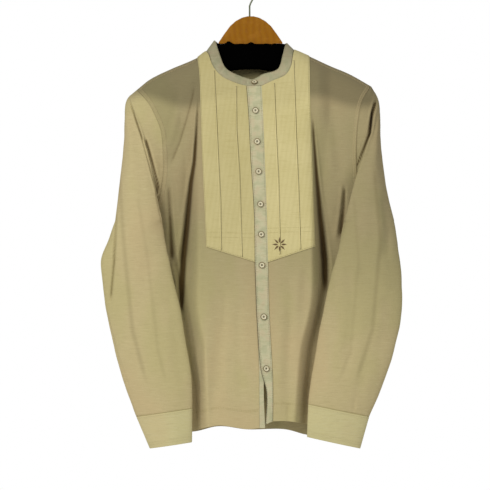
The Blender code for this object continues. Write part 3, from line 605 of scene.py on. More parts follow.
def frontNet(half, edges):
    sizes, sign = halves[half], bodySides[half]
    upper = spans["armhole"] + spans["bibSide"]
    centre = centrePoints("underSeam" if half == "right" else "seamEdge", frontEnds[half])
    corner = spot(sign * sizes["bibEdge"][-1]["out"], sizes["bibEdge"][-1]["down"])
    hemMark = spot(sign * sizes["bibEdgeAtHem"][0], sizes["bibEdgeAtHem"][1])
    edgeSpots = [spot(sign * row["out"], row["down"]) for row in sizes["bibEdge"]]
    bibEdge = along([edges["shoulderInner"][-1]] + edgeSpots, upper, upperEase)
    bibEdge[-1] = corner
    lowerEdge = straight(corner, hemMark, spans["lower"])
    outerUpper = edges["armhole"] + edges["sideUpper"][1:]
    innerSpans = spans["neck"] + spans["bibShoulder"]
    innerTop = edges["neck"] + edges["shoulderInner"][1:]
    bibFoot = straight(centre[upper], corner, innerSpans)
    sideFoot = straight(corner, edges["sideUpper"][-1], spans["shoulder"])
    hemSpots = [spot(sign * row["out"], row["down"]) for row in sizes["frontHem"]]
    innerHem = along([centre[-1]] + hemSpots + [hemMark], innerSpans)
    outerSpots = [spot(sign * row["out"], row["down"]) for row in sizes["outerHem"]]
    outerHem = along([hemMark] + outerSpots + [edges["sideLower"][-1]], spans["shoulder"])
    inner = coons(innerTop, bibFoot, centre[: upper + 1], bibEdge)
    inner += coons(bibFoot, innerHem, centre[upper:], lowerEdge)[1:]
    outer = coons(edges["shoulderOuter"], sideFoot, bibEdge, outerUpper)
    outer += coons(sideFoot, outerHem, lowerEdge, edges["sideLower"])[1:]
    return [a[:-1] + b for a, b in zip(inner, outer)]


def backNet(right, left):
    neck = along(
        [right["neck"][-1]] + [spot(row["x"], row["down"]) for row in backNeck] + [left["neck"][-1]],
        2 * spans["neck"],
    )
    top = right["shoulderOuter"][:0:-1] + right["shoulderInner"][:0:-1] + neck
    top += left["shoulderInner"][1:] + left["shoulderOuter"][1:]
    rights = right["armhole"] + right["sideUpper"][1:] + right["sideLower"][1:]
    lefts = left["armhole"] + left["sideUpper"][1:] + left["sideLower"][1:]
    hem = [rights[-1]] + [spot(row["x"], row["down"]) for row in backHem] + [lefts[-1]]
    return coons(top, along(hem, len(top) - 1), rights, lefts), neck


def stripNet(leftColumn, rightColumn, bottomLeft, bottomRight):
    lefts = centrePoints(leftColumn, bottomLeft)
    rights = centrePoints(rightColumn, bottomRight)
    return [straight(a, b, spans["placket"]) for a, b in zip(lefts, rights)]


def collarNet(right, left, neck):
    frontSeam = straight(left["neck"][0], right["neck"][0], spans["placket"])
    seam = [bodyPoint("front", point.x, -point.z) for point in right["neck"]]
    seam += [bodyPoint("back", point.x, -point.z) for point in neck[1:]]
    seam += [bodyPoint("front", point.x, -point.z) for point in left["neck"][-2::-1] + frontSeam[1:]]
    corners = [[Vector((row["x"], row["y"], -row["down"])) for row in stretch] for stretch in collarTop]
    corners[0].append(corners[1][0])
    corners[3].append(corners[4][0])
    top = []
    for stretch, steps in zip(corners, [spans["neck"]] * 4 + [spans["placket"]]):
        top = top[:-1] + along(stretch, steps)
    rows = []
    for i in range(spans["collar"] + 1):
        rows.append([mix(a, b, i / spans["collar"]) for a, b in zip(top, seam)])
    for row in rows[:-1]:
        for point in row:
            if point.y < collarFront:
                point.y += creaseDepth("collar", point.x, -point.z)
            point.y += rippleHeight("collar", point.x, point.y, -point.z)
    return rows


sleeveForm = {  # shares of a row's width and depth
    "valleyForward": 0.2, "foldForward": 0.62, "frontNear": 0.25, "frontFar": 0.7, "outerForward": 0.5,
    "rearAcross": 0.9, "rearForward": 0.08, "backFar": 0.86,
}


def sleeveKeys(row, down, sign):
    form = sleeveForm
    width = row["outer"] - row["inner"]
    depth = row["front"] - row["back"]

    def place(across, forward):
        out = row["inner"] + across * width
        return Vector((sign * out, -(row["back"] + forward * depth), -(down + row["slant"] * across)))

    halfBack = (row["seam"] + form["backFar"]) / 2
    return [
        place(row["seam"], 0), place(row["valley"], form["valleyForward"]), place(0, form["foldForward"]),
        place(form["frontNear"], 1), place(form["frontFar"], 1), place(1, form["outerForward"]),
        place(form["rearAcross"], form["rearForward"]), place(halfBack, 0), place(row["seam"], 0),
    ]


def sleeveRow(rows, down):
    return {name: value(rows, "down", name, down) for name in rows[0]}


sleeveCap = {  # pairs are places from front to back, at the shoulder's tip and at the underarm
    "angles": (0, 22, 40, 58, 78, 98, 122, 150, 180), "fold": (-22, -46), "foldRate": 1.6, "valleyPast": 4,
    "frontNear": (-24, -59), "frontFar": (-20, -59), "outer": (-3, -32), "rear": (16, -5), "rearShare": 0.12,
    "middle": (28, 4), "middleShare": 0.5, "roundTo": 0.25,
}


def upperSleeve(half, armhole):
    sizes, sign = halves[half], bodySides[half]
    tip = armhole[0]
    low = sleeveKeys(sizes["sleeve"][0], sizes["sleeve"][0]["down"], sign)
    steps = len(armhole) - 1

    def line(name, end):
        points = [tip] + [spot(sign * row["out"], row["down"]) for row in sizes[name]]
        return along(points + [spot(end.x, -end.z)], steps, armholeEase)

    def moved(point, name, share):
        return point + Vector((0, mix(*sleeveCap[name], share), 0))

    fold, outer = line("sleeveFold", low[2]), line("sleeveOuter", low[5])
    rows = [[bodyPoint("front", tip.x, -tip.z)] * (sum(sectionSpans) + 1)]
    for i in range(1, steps + 1):
        t = i / steps
        start = bodyPoint("front", armhole[i].x, -armhole[i].z)
        end = bodyPoint("back", armhole[i].x, -armhole[i].z)
        folded = moved(fold[i], "fold", smooth(sleeveCap["foldRate"] * t))
        valley = mix(start, folded, 0.5)
        valley.x = sign * max(abs(valley.x), abs(start.x) + sleeveCap["valleyPast"] * t)
        keys = [
            start,
            valley,
            folded,
            moved(mix(fold[i], outer[i], sleeveForm["frontNear"]), "frontNear", t),
            moved(mix(fold[i], outer[i], sleeveForm["frontFar"]), "frontFar", t),
            moved(outer[i], "outer", t),
            moved(mix(outer[i], armhole[i], sleeveCap["rearShare"]), "rear", t * t),
            moved(mix(outer[i], armhole[i], sleeveCap["middleShare"]), "middle", t * t),
            end,
        ]
        middle, reach = (start + end) / 2, (end - start) / 2
        caps = []
        for degrees in sleeveCap["angles"]:  # a round cap joins front and back over the shoulder's tip
            angle = math.radians(degrees)
            caps.append(middle - reach * math.cos(angle) + (outer[i] - middle) * math.sin(angle))
        opened = smooth(t / sleeveCap["roundTo"] - 1)
        keys = [mix(cap, key, opened) for cap, key in zip(caps, keys)]
        rows.append(section(keys, sectionSpans, closed=i == steps))
    return rows


sleeveEasing = {"rows": 16, "reach": 4, "passes": 3}


def lowerSleeve(half):
    sizes = halves[half]
    start = sizes["sleeve"][0]["down"]
    rows = []
    for i in range(1, spans["sleeve"] + 1):
        down = mix(start, sizes["cuffDown"], i / spans["sleeve"])
        keys = sleeveKeys(sleeveRow(sizes["sleeve"], down), down, bodySides[half])
        row = section(keys, sectionSpans, closed=True)
        eased = relax(row, sleeveEasing["reach"], sleeveEasing["passes"])
        share = smooth(i / sleeveEasing["rows"])
        rows.append([mix(a, b, share) for a, b in zip(row, eased)])
    return rows


crumpleFade = {"edgeRate": 14, "belowRows": 10, "topRows": 12, "turn": 1.6}


def crumple(half, net, facing):
    # the sleeve's creases and slack, none of it along the armhole
    side = half.capitalize()
    for i in range(1, len(net)):
        below = max(0, i - spans["armhole"])
        for j, point in enumerate(net[i]):
            out = facing[mark(point)].normalized()
            edge = min(j, len(net[i]) - 1 - j) / (len(net[i]) - 1)
            fade = smooth(edge * crumpleFade["edgeRate"] + below / crumpleFade["belowRows"])
            fade *= smooth(i / crumpleFade["topRows"])
            deep = 0.0
            for face, turned in (("Front", -out.y), ("Back", out.y)):
                crease = creaseDepth("sleeve" + side + face, point.x, -point.z)
                deep += crease * smooth(crumpleFade["turn"] * turned)
            slack = rippleHeight("sleeve", point.x, point.y, -point.z)
            yield i, j, point + out * (slack - deep) * fade


def relax(row, reach, passes):
    # evens out the bends of a closed row
    for _ in range(passes):
        ring, near = row[:-1], range(-reach, reach + 1)
        row = [sum((ring[(j + k) % len(ring)] for k in near), Vector()) / len(near) for j in range(len(ring))]
        row.append(row[0])
    return row


cuffSlack = {"height": 0.6, "across": 22, "down": 30, "rate": 3}


def cuffNet(half, seamRow):
    sizes = halves[half]
    last = sizes["sleeve"][-1]
    end = section(sleeveKeys(last, last["down"], bodySides[half]), sectionSpans, closed=True)
    rows, across = [seamRow], cuffSlack["across"]
    for i in range(1, spans["cuff"] + 1):
        t = i / spans["cuff"]
        row = [mix(a, b, t) for a, b in zip(seamRow, end)]
        for point in row:
            place = Vector((point.x / across, point.y / across, -point.z / cuffSlack["down"]))
            point.y += cuffSlack["height"] * noise.noise(place) * smooth(cuffSlack["rate"] * t)
        rows.append(row)
    return rows


def mark(point):
    return (round(point.x, 2), round(point.y, 2), round(point.z, 2))


def withNearLines(net, top=False, bottom=False, first=False, last=False):
    # a line of points just inside each named edge, which a seam or a rounded edge needs
    def near(edge, inner):
        return mix(edge, inner, min(cloth["nearShare"], cloth["seamWidth"] / max((inner - edge).length, 0.001)))

    rows = [list(row) for row in net]
    if top:
        rows.insert(1, [near(a, b) for a, b in zip(rows[0], rows[1])])
    if bottom:
        rows.insert(-1, [near(b, a) for a, b in zip(rows[-2], rows[-1])])
    for row in rows:
        if first:
            row.insert(1, near(row[0], row[1]))
        if last:
            row.insert(-1, near(row[-1], row[-2]))
    return rows


def join(net, flip=False, split=False):
    places, points, ids = {}, [], []
    for row in net:
        ids.append([])
        for j, point in enumerate(row):
            place = (mark(point), split and j == len(row) - 1)
            if place not in places:
                places[place] = len(points)
                points.append(point)
            ids[-1].append(places[place])
    faces, corners = [], []
    for i in range(len(ids) - 1):
        for j in range(len(ids[i]) - 1):
            around = [(i, j), (i, j + 1), (i + 1, j + 1), (i + 1, j)]
            if flip:
                around.reverse()
            kept, used = [], set()
            for a, b in around:
                if ids[a][b] not in used:
                    used.add(ids[a][b])
                    kept.append((a, b))
            if len(kept) > 2:
                faces.append([ids[a][b] for a, b in kept])
                corners.append(kept)
    return {"points": points, "faces": faces, "corners": corners, "ids": ids}


def addFacing(facing, joined):
    for face in joined["faces"]:
        corners = [joined["points"][i] for i in face]
        area = (corners[2] - corners[0]).cross(corners[-1] - corners[1])
        for corner in corners:
            facing[mark(corner)] = facing.get(mark(corner), Vector()) + area


def netMeasure(net):
    # its widest row, its longest column and its area, in metres
    def run(points):
        return sum((b - a).length for a, b in zip(points, points[1:])) * mm

    wide = max(run(row) for row in net)
    long = max(run([row[j] for row in net]) for j in range(len(net[0])))
    area = 0.0
    for upper, lower in zip(net, net[1:]):
        for j in range(len(upper) - 1):
            area += (lower[j + 1] - upper[j]).cross(lower[j] - upper[j + 1]).length / 2
    return wide, long, area * mm * mm


def netUv(net):
    # across by length along each row, and down by height, in metres
    result = []
    for row in net:
        across = [0.0]
        for a, b in zip(row, row[1:]):
            across.append(across[-1] + (b - a).length * mm)
        middle = across[len(across) // 2]
        result.append([(u - middle, -point.z * mm) for u, point in zip(across, row)])
    return result


def clothPiece(
    name, net, facing, material, nodes, flip=False, split=False, thick=None, lift=0.0, dips=(), uv=None,
    fold=None, sheer=None,
):
    # a shell under the net, dipped along its edges, with its shading levels as attributes
    joined = join(net, flip, split)
    thick = thick or cloth["thick"]
    points, faces, ids = joined["points"], joined["faces"], joined["ids"]
    out = [facing[mark(point)].normalized() for point in points]
    dipped = [0.0] * len(points)
    for edge, depth in dips:
        rows = {"top": [ids[0]], "bottom": [ids[-1]]}.get(edge)
        line = rows[0] if rows else [row[0 if edge == "first" else -1] for row in ids]
        for i in line:
            dipped[i] = max(dipped[i], depth)
    outside = [point + way * (lift - dip) for point, way, dip in zip(points, out, dipped)]
    inside = [point - way * thick for point, way in zip(outside, out)]
    count = len(points)
    uv = uv or netUv(net)
    sides = {(a, b) for face in faces for a, b in zip(face, face[1:] + face[:1])}
    rims = sorted(side for side in sides if side[::-1] not in sides)
    allFaces = list(faces) + [[i + count for i in face[::-1]] for face in faces]
    spots = [[uv[a][b] for a, b in corners] for corners in joined["corners"]]
    spots += [corners[::-1] for corners in spots]
    pointUv = {}
    for face, corners in zip(faces, spots):
        for i, corner in zip(face, corners):
            pointUv.setdefault(i, corner)
    for a, b in rims:
        allFaces.append([b, a, a + count, b + count])
        spots.append([pointUv[b], pointUv[a], pointUv[a], pointUv[b]])
    mesh = bpy.data.meshes.new(name)
    mesh.from_pydata([point * mm for point in outside + inside], [], allFaces)
    layer = mesh.uv_layers.new(name="cloth")
    layer.data.foreach_set("uv", [number for corners in spots for corner in corners for number in corner])
    for label, level in (("fold", fold), ("sheer", sheer)):
        numbers = [level(point) if level else 0.0 for point in points]
        mesh.attributes.new(label, "FLOAT", "POINT").data.foreach_set("value", numbers + numbers)
    piece = ridePiece(name, mesh, material, nodes)
    mesh.set_sharp_from_angle(angle=math.radians(cloth["sharpAngle"]))
    return piece


def ridePiece(name, mesh, material, nodes=()):
    mesh.materials.append(material)
    mesh.shade_smooth()
    piece = bpy.data.objects.new(name, mesh)
    bpy.context.scene.collection.objects.link(piece)
    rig.ride(piece, "root")
    if nodes:
        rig.replaces(piece, *nodes)
    return piece


# Sewing. Each stitch is a small spindle, and a group of them is one mesh.
stitch = {
    "long": 2.3, "gap": 1.1, "radius": 0.27, "lift": 0.02, "sides": 5, "shortest": 0.2, "waists": (0.25, 0.75),
    "arch": 0.25,
}
pathStep = 4  # between the points of a line on the body
stitchGroups = {}


def sew(group, path, long=None, gap=None, radius=None):
    # path is a list of points, each with the way its cloth faces
    long, gap, radius = long or stitch["long"], stitch["gap"] if gap is None else gap, radius or stitch["radius"]
    lengths = [0.0]
    for (a, _), (b, _) in zip(path, path[1:]):
        lengths.append(lengths[-1] + (b - a).length)
    points, faces = stitchGroups.setdefault(group, ([], []))
    count = int((lengths[-1] + gap) / (long + gap))
    if count < 1:
        return
    step = lengths[-1] / count
    k = 1

    def at(wanted):
        nonlocal k
        while k < len(lengths) - 1 and lengths[k] < wanted:
            k += 1
        t = (wanted - lengths[k - 1]) / max(lengths[k] - lengths[k - 1], 0.001)
        return mix(path[k - 1][0], path[k][0], t), mix(path[k - 1][1], path[k][1], t).normalized()

    for n in range(count):
        start, out = at(n * step + gap / 2)
        end, _ = at((n + 1) * step - gap / 2)
        addSpindle(points, faces, start + out * stitch["lift"], end + out * stitch["lift"], out, radius)


def addSpindle(points, faces, start, end, out, radius):
    run = end - start
    if run.length < stitch["shortest"]:
        return
    side = run.cross(out).normalized()
    up = side.cross(run).normalized()
    base, sides = len(points), stitch["sides"]
    points.append(start)
    for share in stitch["waists"]:
        middle = start + run * share + up * radius * stitch["arch"]
        for k in range(sides):
            angle = math.tau * k / sides
            points.append(middle + side * math.cos(angle) * radius + up * math.sin(angle) * radius)
    points.append(end)
    last = len(points) - 1
    for k in range(sides):
        a, b = base + 1 + k, base + 1 + (k + 1) % sides
        faces.append([base, b, a])
        faces.append([a, b, b + sides, a + sides])
        faces.append([last, a + sides, b + sides])


def netPath(net, facing, places, lift=0.0):
    # points on a net at fractions of its rows and columns
    path = []
    for down, across in places:
        i, j = min(int(down), len(net) - 2), min(int(across), len(net[0]) - 2)
        u, v = across - j, down - i
        corners = (net[i][j], net[i][j + 1], net[i + 1][j], net[i + 1][j + 1])
        ways = [facing[mark(corner)].normalized() for corner in corners]
        point = mix(mix(corners[0], corners[1], u), mix(corners[2], corners[3], u), v)
        way = mix(mix(ways[0], ways[1], u), mix(ways[2], ways[3], u), v).normalized()
        path.append((point + way * lift, way))
    return path


def bodyPath(name, spots, lift=0.0):
    path = []
    for a, b in zip(spots, spots[1:]):
        steps = max(1, int((b - a).length / pathStep))
        path += [mix(a, b, k / steps) for k in range(steps)]
    path.append(spots[-1])
    sides = [bodySide(name, point.x, point.y) for point in path]
    return [(at + out * lift, out) for at, out in sides]


def offsetLine(line, distance):
    # a flat line moved sideways, to the right of its run where positive
    result = []
    for k, point in enumerate(line):
        run = line[min(k + 1, len(line) - 1)] - line[max(k - 1, 0)]
        result.append(point + Vector((-run.y, run.x)).normalized() * distance)
    return result


def flatLine(points):
    return [Vector((point.x, -point.z)) for point in points]


def sideways(path):
    # each point of a path, the way that its cloth faces and the way across
    for k, (at, out) in enumerate(path):
        run = path[min(k + 1, len(path) - 1)][0] - path[max(k - 1, 0)][0]
        yield at, out, run.cross(out).normalized()


stripShape = ((-0.5, -0.3), (-0.5, 0.5), (-0.36, 0.9), (-0.1, 1), (0.25, 0.95), (0.46, 0.6), (0.5, -0.3))


def makeStrip(name, path, width, height, material, sheer):
    # a low round-edged band along a path, as a sewn tuck is
    points, faces = [], []
    for at, out, side in sideways(path):
        points += [at + side * across * width + out * up * height for across, up in stripShape]
    sides = len(stripShape)
    for k in range(len(path) - 1):
        for n in range(sides):
            a, b = k * sides + n, k * sides + (n + 1) % sides
            faces.append([a, b, b + sides, a + sides])
    faces += [list(range(sides))[::-1], list(range(len(points) - sides, len(points)))]
    mesh = bpy.data.meshes.new(name)
    mesh.from_pydata([point * mm for point in points], [], faces)
    layer = mesh.uv_layers.new(name="cloth")
    for loop in mesh.loops:
        at = mesh.vertices[loop.vertex_index].co
        layer.data[loop.index].uv = (at.x, -at.z)
    levels = [sheer(vertex.co / mm) for vertex in mesh.vertices]
    mesh.attributes.new("sheer", "FLOAT", "POINT").data.foreach_set("value", levels)
    return ridePiece(name, mesh, material)


# Finishes. Sums on sockets are written as Python, and every node comes from one method.
def colour(red, green, blue):
    def linear(channel):
        channel /= 255
        return channel / 12.92 if channel <= 0.04045 else ((channel + 0.055) / 1.055) ** 2.4

    return (linear(red), linear(green), linear(blue), 1.0)


class Link:
    def __init__(self, finish, socket):
        self.finish, self.socket = finish, socket

    def sums(self, operation, first, second):
        return self.finish.node("ShaderNodeMath", {"operation": operation}, {0: first, 1: second})

    def __add__(self, other):
        return self.sums("ADD", self, other)

    def __radd__(self, other):
        return self.sums("ADD", other, self)

    def __sub__(self, other):
        return self.sums("SUBTRACT", self, other)

    def __rsub__(self, other):
        return self.sums("SUBTRACT", other, self)

    def __mul__(self, other):
        return self.sums("MULTIPLY", self, other)

    def __rmul__(self, other):
        return self.sums("MULTIPLY", other, self)


class Finish:
    def __init__(self, name, roughness, **fixed):
        self.material = bpy.data.materials.new(name)
        self.material.use_nodes = True
        self.tree = self.material.node_tree
        self.shader = self.tree.nodes["Principled BSDF"]
        self.shader.inputs["Roughness"].default_value = roughness
        for socket, number in fixed.items():
            self.shader.inputs[socket].default_value = number

    def node(self, kind, settings=None, inputs=None, output=0):
        made = self.tree.nodes.new(kind)
        for name, setting in (settings or {}).items():
            setattr(made, name, setting)
        for name, given in (inputs or {}).items():
            if isinstance(given, Link):
                self.tree.links.new(given.socket, made.inputs[name])
            else:
                made.inputs[name].default_value = given
        return Link(self, made.outputs[output])

    def feed(self, socket, link):
        self.tree.links.new(link.socket, self.shader.inputs[socket])

    def objectPlace(self, stretch=(1, 1, 1)):
        place = self.node("ShaderNodeTexCoord", output="Object")
        return self.node("ShaderNodeMapping", inputs={"Vector": place, "Scale": stretch})

    def clothPlace(self):
        return self.node("ShaderNodeTexCoord", output="UV")

    def grain(self, place, scale=1.0, detail=2.0, roughness=0.5):
        return self.node(
            "ShaderNodeTexNoise", inputs={"Vector": place, "Scale": scale, "Detail": detail, "Roughness": roughness}
        )

    def clear(self, level, low, high):
        # a mask that goes from 0 at low to 1 at high
        return self.node(
            "ShaderNodeMapRange", {"interpolation_type": "SMOOTHSTEP", "clamp": True},
            {"Value": level, "From Min": low, "From Max": high},
        )

    def streaks(self, stretch, low, high, detail=2.0, roughness=0.5):
        return self.clear(self.grain(self.objectPlace(stretch), 1.0, detail, roughness), low, high)

    def blendColours(self, factor, first, second):
        return self.node("ShaderNodeMix", {"data_type": "RGBA"}, {0: factor, 6: first, 7: second}, 2)

    def cover(self, shade, mask, share, tone):
        # the tone over a share of the shade, where the mask is
        return self.blendColours(mask * share, shade, colour(*tone))

    def shadows(self, shade, look):
        # painted shade, darker where thin cloth lies over black, and painted shade in the folds
        behind = self.node("ShaderNodeAttribute", {"attribute_name": "sheer"}, output="Fac")
        deep = self.node("ShaderNodeAttribute", {"attribute_name": "fold"}, output="Fac")
        shade = self.blendColours(behind, shade, colour(*look["sheer"]))
        return self.blendColours(deep, shade, colour(*look["fold"]))

    def axis(self, place, name):
        return self.node("ShaderNodeSeparateXYZ", inputs={"Vector": place}, output=name)

    def wave(self, level, turns):
        # sine of a level that is given in turns, from 0 to 1
        return self.node("ShaderNodeMath", {"operation": "SINE"}, {0: level * (math.tau * turns)}) * 0.5 + 0.5

    def bump(self, height, distance, strength):
        sockets = {"Height": height, "Distance": distance, "Strength": strength}
        self.feed("Normal", self.node("ShaderNodeBump", inputs=sockets))


# Looks of the cloths: streaks are stretched noise, and scales and counts are per metre.
# Two tones of a look are painted shade: the fold tone for the creases, and a darker tone where the black pad shows
# through the thin cloth or a piece falls in shade.
jerseyLook = {
    "base": (183, 168, 124), "pale": (197, 183, 139), "dark": (154, 139, 98), "green": (168, 164, 106),
    "pink": (190, 164, 124), "fold": (62, 42, 0), "sheer": (88, 82, 58), "slub": (48, 48, 760),
    "darkSlub": (60, 60, 900), "fleckScale": 950, "patchScale": 11, "wales": 620, "courses": 800, "lean": 0.0004,
}
cuffLook = {
    **jerseyLook, "base": (192, 182, 134), "pale": (198, 190, 148), "dark": (160, 148, 104), "green": (180, 174, 124),
}
bibLook = {
    "base": (202, 190, 137), "pale": (213, 201, 150), "line": (164, 149, 88), "fold": (104, 84, 40),
    "sheer": (116, 104, 62), "slub": (40, 40, 500), "fleckScale": 1100, "patchScale": 14, "stripes": 420,
    "threads": 1400,
}
beigeLook = {
    "base": (184, 178, 142), "pale": (196, 191, 156), "dark": (150, 142, 100), "green": (160, 164, 128),
    "pink": (194, 174, 142), "fold": (96, 80, 44), "sheer": (84, 76, 56), "slub": (60, 60, 420),
    "fleckScale": 1000, "patchScale": 22, "blotchScale": 62, "threads": 1500,
}
wovenSheen = {"Sheen Weight": 0.04, "Specular IOR Level": 0.15}


def jerseyFinish(name, look):
    made = Finish(name, 0.92, **{"Sheen Weight": 0.04, "Sheen Roughness": 0.6, "Specular IOR Level": 0.14})
    slub = made.streaks(look["slub"], 0.47, 0.7, 3.0, 0.6)
    darkSlub = made.streaks(look["darkSlub"], 0.5, 0.74, 2.0, 0.6)
    fleck = made.grain(made.objectPlace(), look["fleckScale"], 2.0, 0.7)
    patch = made.grain(made.objectPlace((1, 1, 0.5)), look["patchScale"])
    shade = made.cover(colour(*look["base"]), slub, 0.45, look["pale"])
    shade = made.cover(shade, darkSlub, 0.35, look["dark"])
    shade = made.cover(shade, made.clear(patch, 0.48, 0.64), 0.3, look["green"])
    shade = made.cover(shade, made.clear(patch, 0.5, 0.34), 0.25, look["pink"])
    shade = made.cover(shade, made.clear(fleck, 0.56, 0.74), 0.35, look["dark"])
    shade = made.cover(shade, made.clear(fleck, 0.44, 0.28), 0.3, look["pale"])
    made.feed("Base Color", made.shadows(shade, look))
    place = made.clothPlace()
    wales = made.wave(made.axis(place, "X"), look["wales"])
    knit = wales * made.wave(made.axis(place, "Y") + wales * look["lean"], look["courses"])
    made.bump(knit * 0.6 + slub * 0.5 + fleck * 0.4, 0.0005, 0.5)
    made.feed("Roughness", fleck * 0.12 + 0.82)
    return made.material


def wovenBase(made, look):
    # what the two woven cloths share: places along the cloth, flecks, weave and the patchy ground
    place = made.clothPlace()
    across, down = made.axis(place, "X"), made.axis(place, "Y")
    fleck = made.grain(made.objectPlace(), look["fleckScale"], 2.0, 0.6)
    patch = made.grain(made.objectPlace(), look["patchScale"])
    shade = made.cover(colour(*look["base"]), made.clear(patch, 0.35, 0.65), 0.5, look["pale"])
    weave = made.wave(across, look["threads"]) + made.wave(down, look["threads"])
    made.feed("Roughness", fleck * 0.1 + 0.8)
    return across, fleck, shade, weave


def bibFinish(look):
    made = Finish("bib stripe", 0.88, **wovenSheen)
    across, fleck, shade, weave = wovenBase(made, look)
    line = made.clear(made.wave(across, look["stripes"]), 0.62, 0.95)
    shade = made.cover(shade, line, 0.62, look["line"])
    shade = made.cover(shade, made.streaks(look["slub"], 0.5, 0.7), 0.18, look["line"])
    shade = made.cover(shade, made.clear(fleck, 0.55, 0.75), 0.25, look["line"])
    made.feed("Base Color", made.shadows(shade, look))
    made.bump(weave * 0.25 + line * 0.5 + fleck * 0.3, 0.0004, 0.5)
    return made.material


def beigeFinish(look):
    made = Finish("beige weave", 0.88, **wovenSheen)
    _, fleck, shade, weave = wovenBase(made, look)
    slub = made.streaks(look["slub"], 0.48, 0.7)
    blotch = made.grain(made.objectPlace(), look["blotchScale"])
    shade = made.cover(shade, made.clear(blotch, 0.5, 0.62), 0.4, look["green"])
    shade = made.cover(shade, made.clear(blotch, 0.5, 0.38), 0.4, look["pink"])
    shade = made.cover(shade, slub, 0.25, look["dark"])
    shade = made.cover(shade, made.clear(fleck, 0.54, 0.74), 0.35, look["dark"])
    made.feed("Base Color", made.shadows(shade, look))
    made.bump(weave * 0.3 + slub * 0.3 + fleck * 0.3, 0.0004, 0.5)
    return made.material


def threadFinish(name, shadeOne, shadeTwo):
    made = Finish(name, 0.7, **{"Sheen Weight": 0.2})
    twist = made.grain(made.objectPlace((300, 300, 900)), 4.0, 2.0)
    made.feed("Base Color", made.blendColours(twist, colour(*shadeOne), colour(*shadeTwo)))
    made.bump(twist, 0.0002, 0.4)
    return made.material


def pearlFinish():
    made = Finish("cream pearl", 0.28, **{"Coat Weight": 0.35, "Coat Roughness": 0.12})
    cloud = made.grain(made.objectPlace(), 420.0, 3.0, 0.6)
    bands = made.grain(made.objectPlace((120, 120, 700)), 1.0, 3.0)
    shade = made.blendColours(made.clear(cloud, 0.35, 0.7), colour(196, 186, 150), colour(218, 210, 178))
    shade = made.blendColours(made.clear(bands, 0.45, 0.75) * 0.35, shade, colour(184, 170, 134))
    made.feed("Base Color", shade)
    made.feed("Roughness", cloud * 0.2 + 0.2)
    made.bump(bands, 0.0002, 0.2)
    return made.material


def rimAndShadowFinish():
    # the dark edge ring of a button: partly its own darker rim, partly painted shadow round the button
    made = Finish("dark button edge", 0.4, **{"Coat Weight": 0.2})
    cloud = made.grain(made.objectPlace(), 380.0, 3.0, 0.6)
    made.feed("Base Color", made.blendColours(made.clear(cloud, 0.35, 0.7), colour(86, 70, 34), colour(128, 108, 64)))
    made.feed("Roughness", cloud * 0.2 + 0.3)
    return made.material


def wireFinish():
    made = Finish("grey-green wire", 0.42, **{"Metallic": 0.6})
    worn = made.grain(made.objectPlace(), 260.0, 3.0, 0.65)
    drawn = made.grain(made.objectPlace((900, 900, 60)), 1.0, 2.0)
    shade = made.blendColours(made.clear(worn, 0.42, 0.66), colour(74, 80, 56), colour(98, 104, 80))
    shade = made.blendColours(made.clear(drawn, 0.5, 0.75) * 0.4, shade, colour(86, 88, 66))
    made.feed("Base Color", shade)
    made.feed("Roughness", worn * 0.3 + 0.28)
    made.bump(drawn, 0.0002, 0.3)
    return made.material


def woodFinish():
    made = Finish("varnished wood", 0.42, **{"Coat Weight": 0.06, "Coat Roughness": 0.3, "Specular IOR Level": 0.12})
    warp = made.grain(made.objectPlace((14, 14, 14)), 1.0, 3.0)
    place = made.objectPlace()
    rings = made.wave(made.axis(place, "X") + made.axis(place, "Z") * 0.12 + warp * 0.03, 90.0)
    pores = made.clear(made.grain(made.objectPlace((900, 500, 70)), 1.0, 3.0, 0.7), 0.52, 0.72)
    wear = made.clear(made.grain(made.objectPlace((30, 30, 60)), 1.0, 4.0, 0.7), 0.5, 0.66)
    shade = made.blendColours(rings, colour(134, 84, 4), colour(140, 91, 8))
    shade = made.blendColours(pores * 0.4, shade, colour(112, 64, 4))
    shade = made.blendColours(wear * 0.22, shade, colour(168, 112, 24))
    made.feed("Base Color", shade)
    made.feed("Roughness", wear * 0.25 + 0.3)
    made.bump(rings * 0.3 + pores * -0.6, 0.0004, 0.4)
    return made.material


def padFinish():
    made = Finish("black pad cloth", 0.95, **{"Specular IOR Level": 0.0})
    place = made.objectPlace()
    weave = made.wave(made.axis(place, "X"), 900.0) + made.wave(made.axis(place, "Z"), 900.0)
    lint = made.grain(place, 700.0, 3.0, 0.7)
    shade = made.blendColours(made.clear(lint, 0.6, 0.8) * 0.5, colour(2, 2, 2), colour(14, 13, 12))
    made.feed("Base Color", shade)
    made.feed("Roughness", lint * 0.2 + 0.7)
    made.bump(weave * 0.4 + lint * 0.5, 0.0005, 0.6)
    return made.material


threads = table(
    "name label darkShade paleShade",
    ("olive", "olive brown thread", (74, 60, 22), (104, 88, 44)),
    ("cream", "khaki thread", (150, 136, 92), (190, 178, 132)),
    ("pink", "dusty thread", (168, 144, 104), (186, 164, 122)),
    # The dark thread sews the buttons on, and its stitches along the placket's free edge are painted shadow.
    ("dark", "dark edge thread", (58, 46, 18), (84, 70, 36)),
    ("khaki", "khaki bib thread", (150, 136, 76), (172, 158, 98)),
    ("brown", "brown thread", (84, 62, 24), (120, 90, 46)),
)
finishes = {row["name"]: threadFinish(row["label"], row["darkShade"], row["paleShade"]) for row in threads}
finishes.update({
    "jersey": jerseyFinish("melange jersey", jerseyLook),
    "cuff": jerseyFinish("pale jersey", cuffLook),
    "bib": bibFinish(bibLook),
    "beige": beigeFinish(beigeLook),
    "horn": rimAndShadowFinish(),
    "pearl": pearlFinish(),
    "wire": wireFinish(),
    "wood": woodFinish(),
    "pad": padFinish(),
})
print("finishes made")

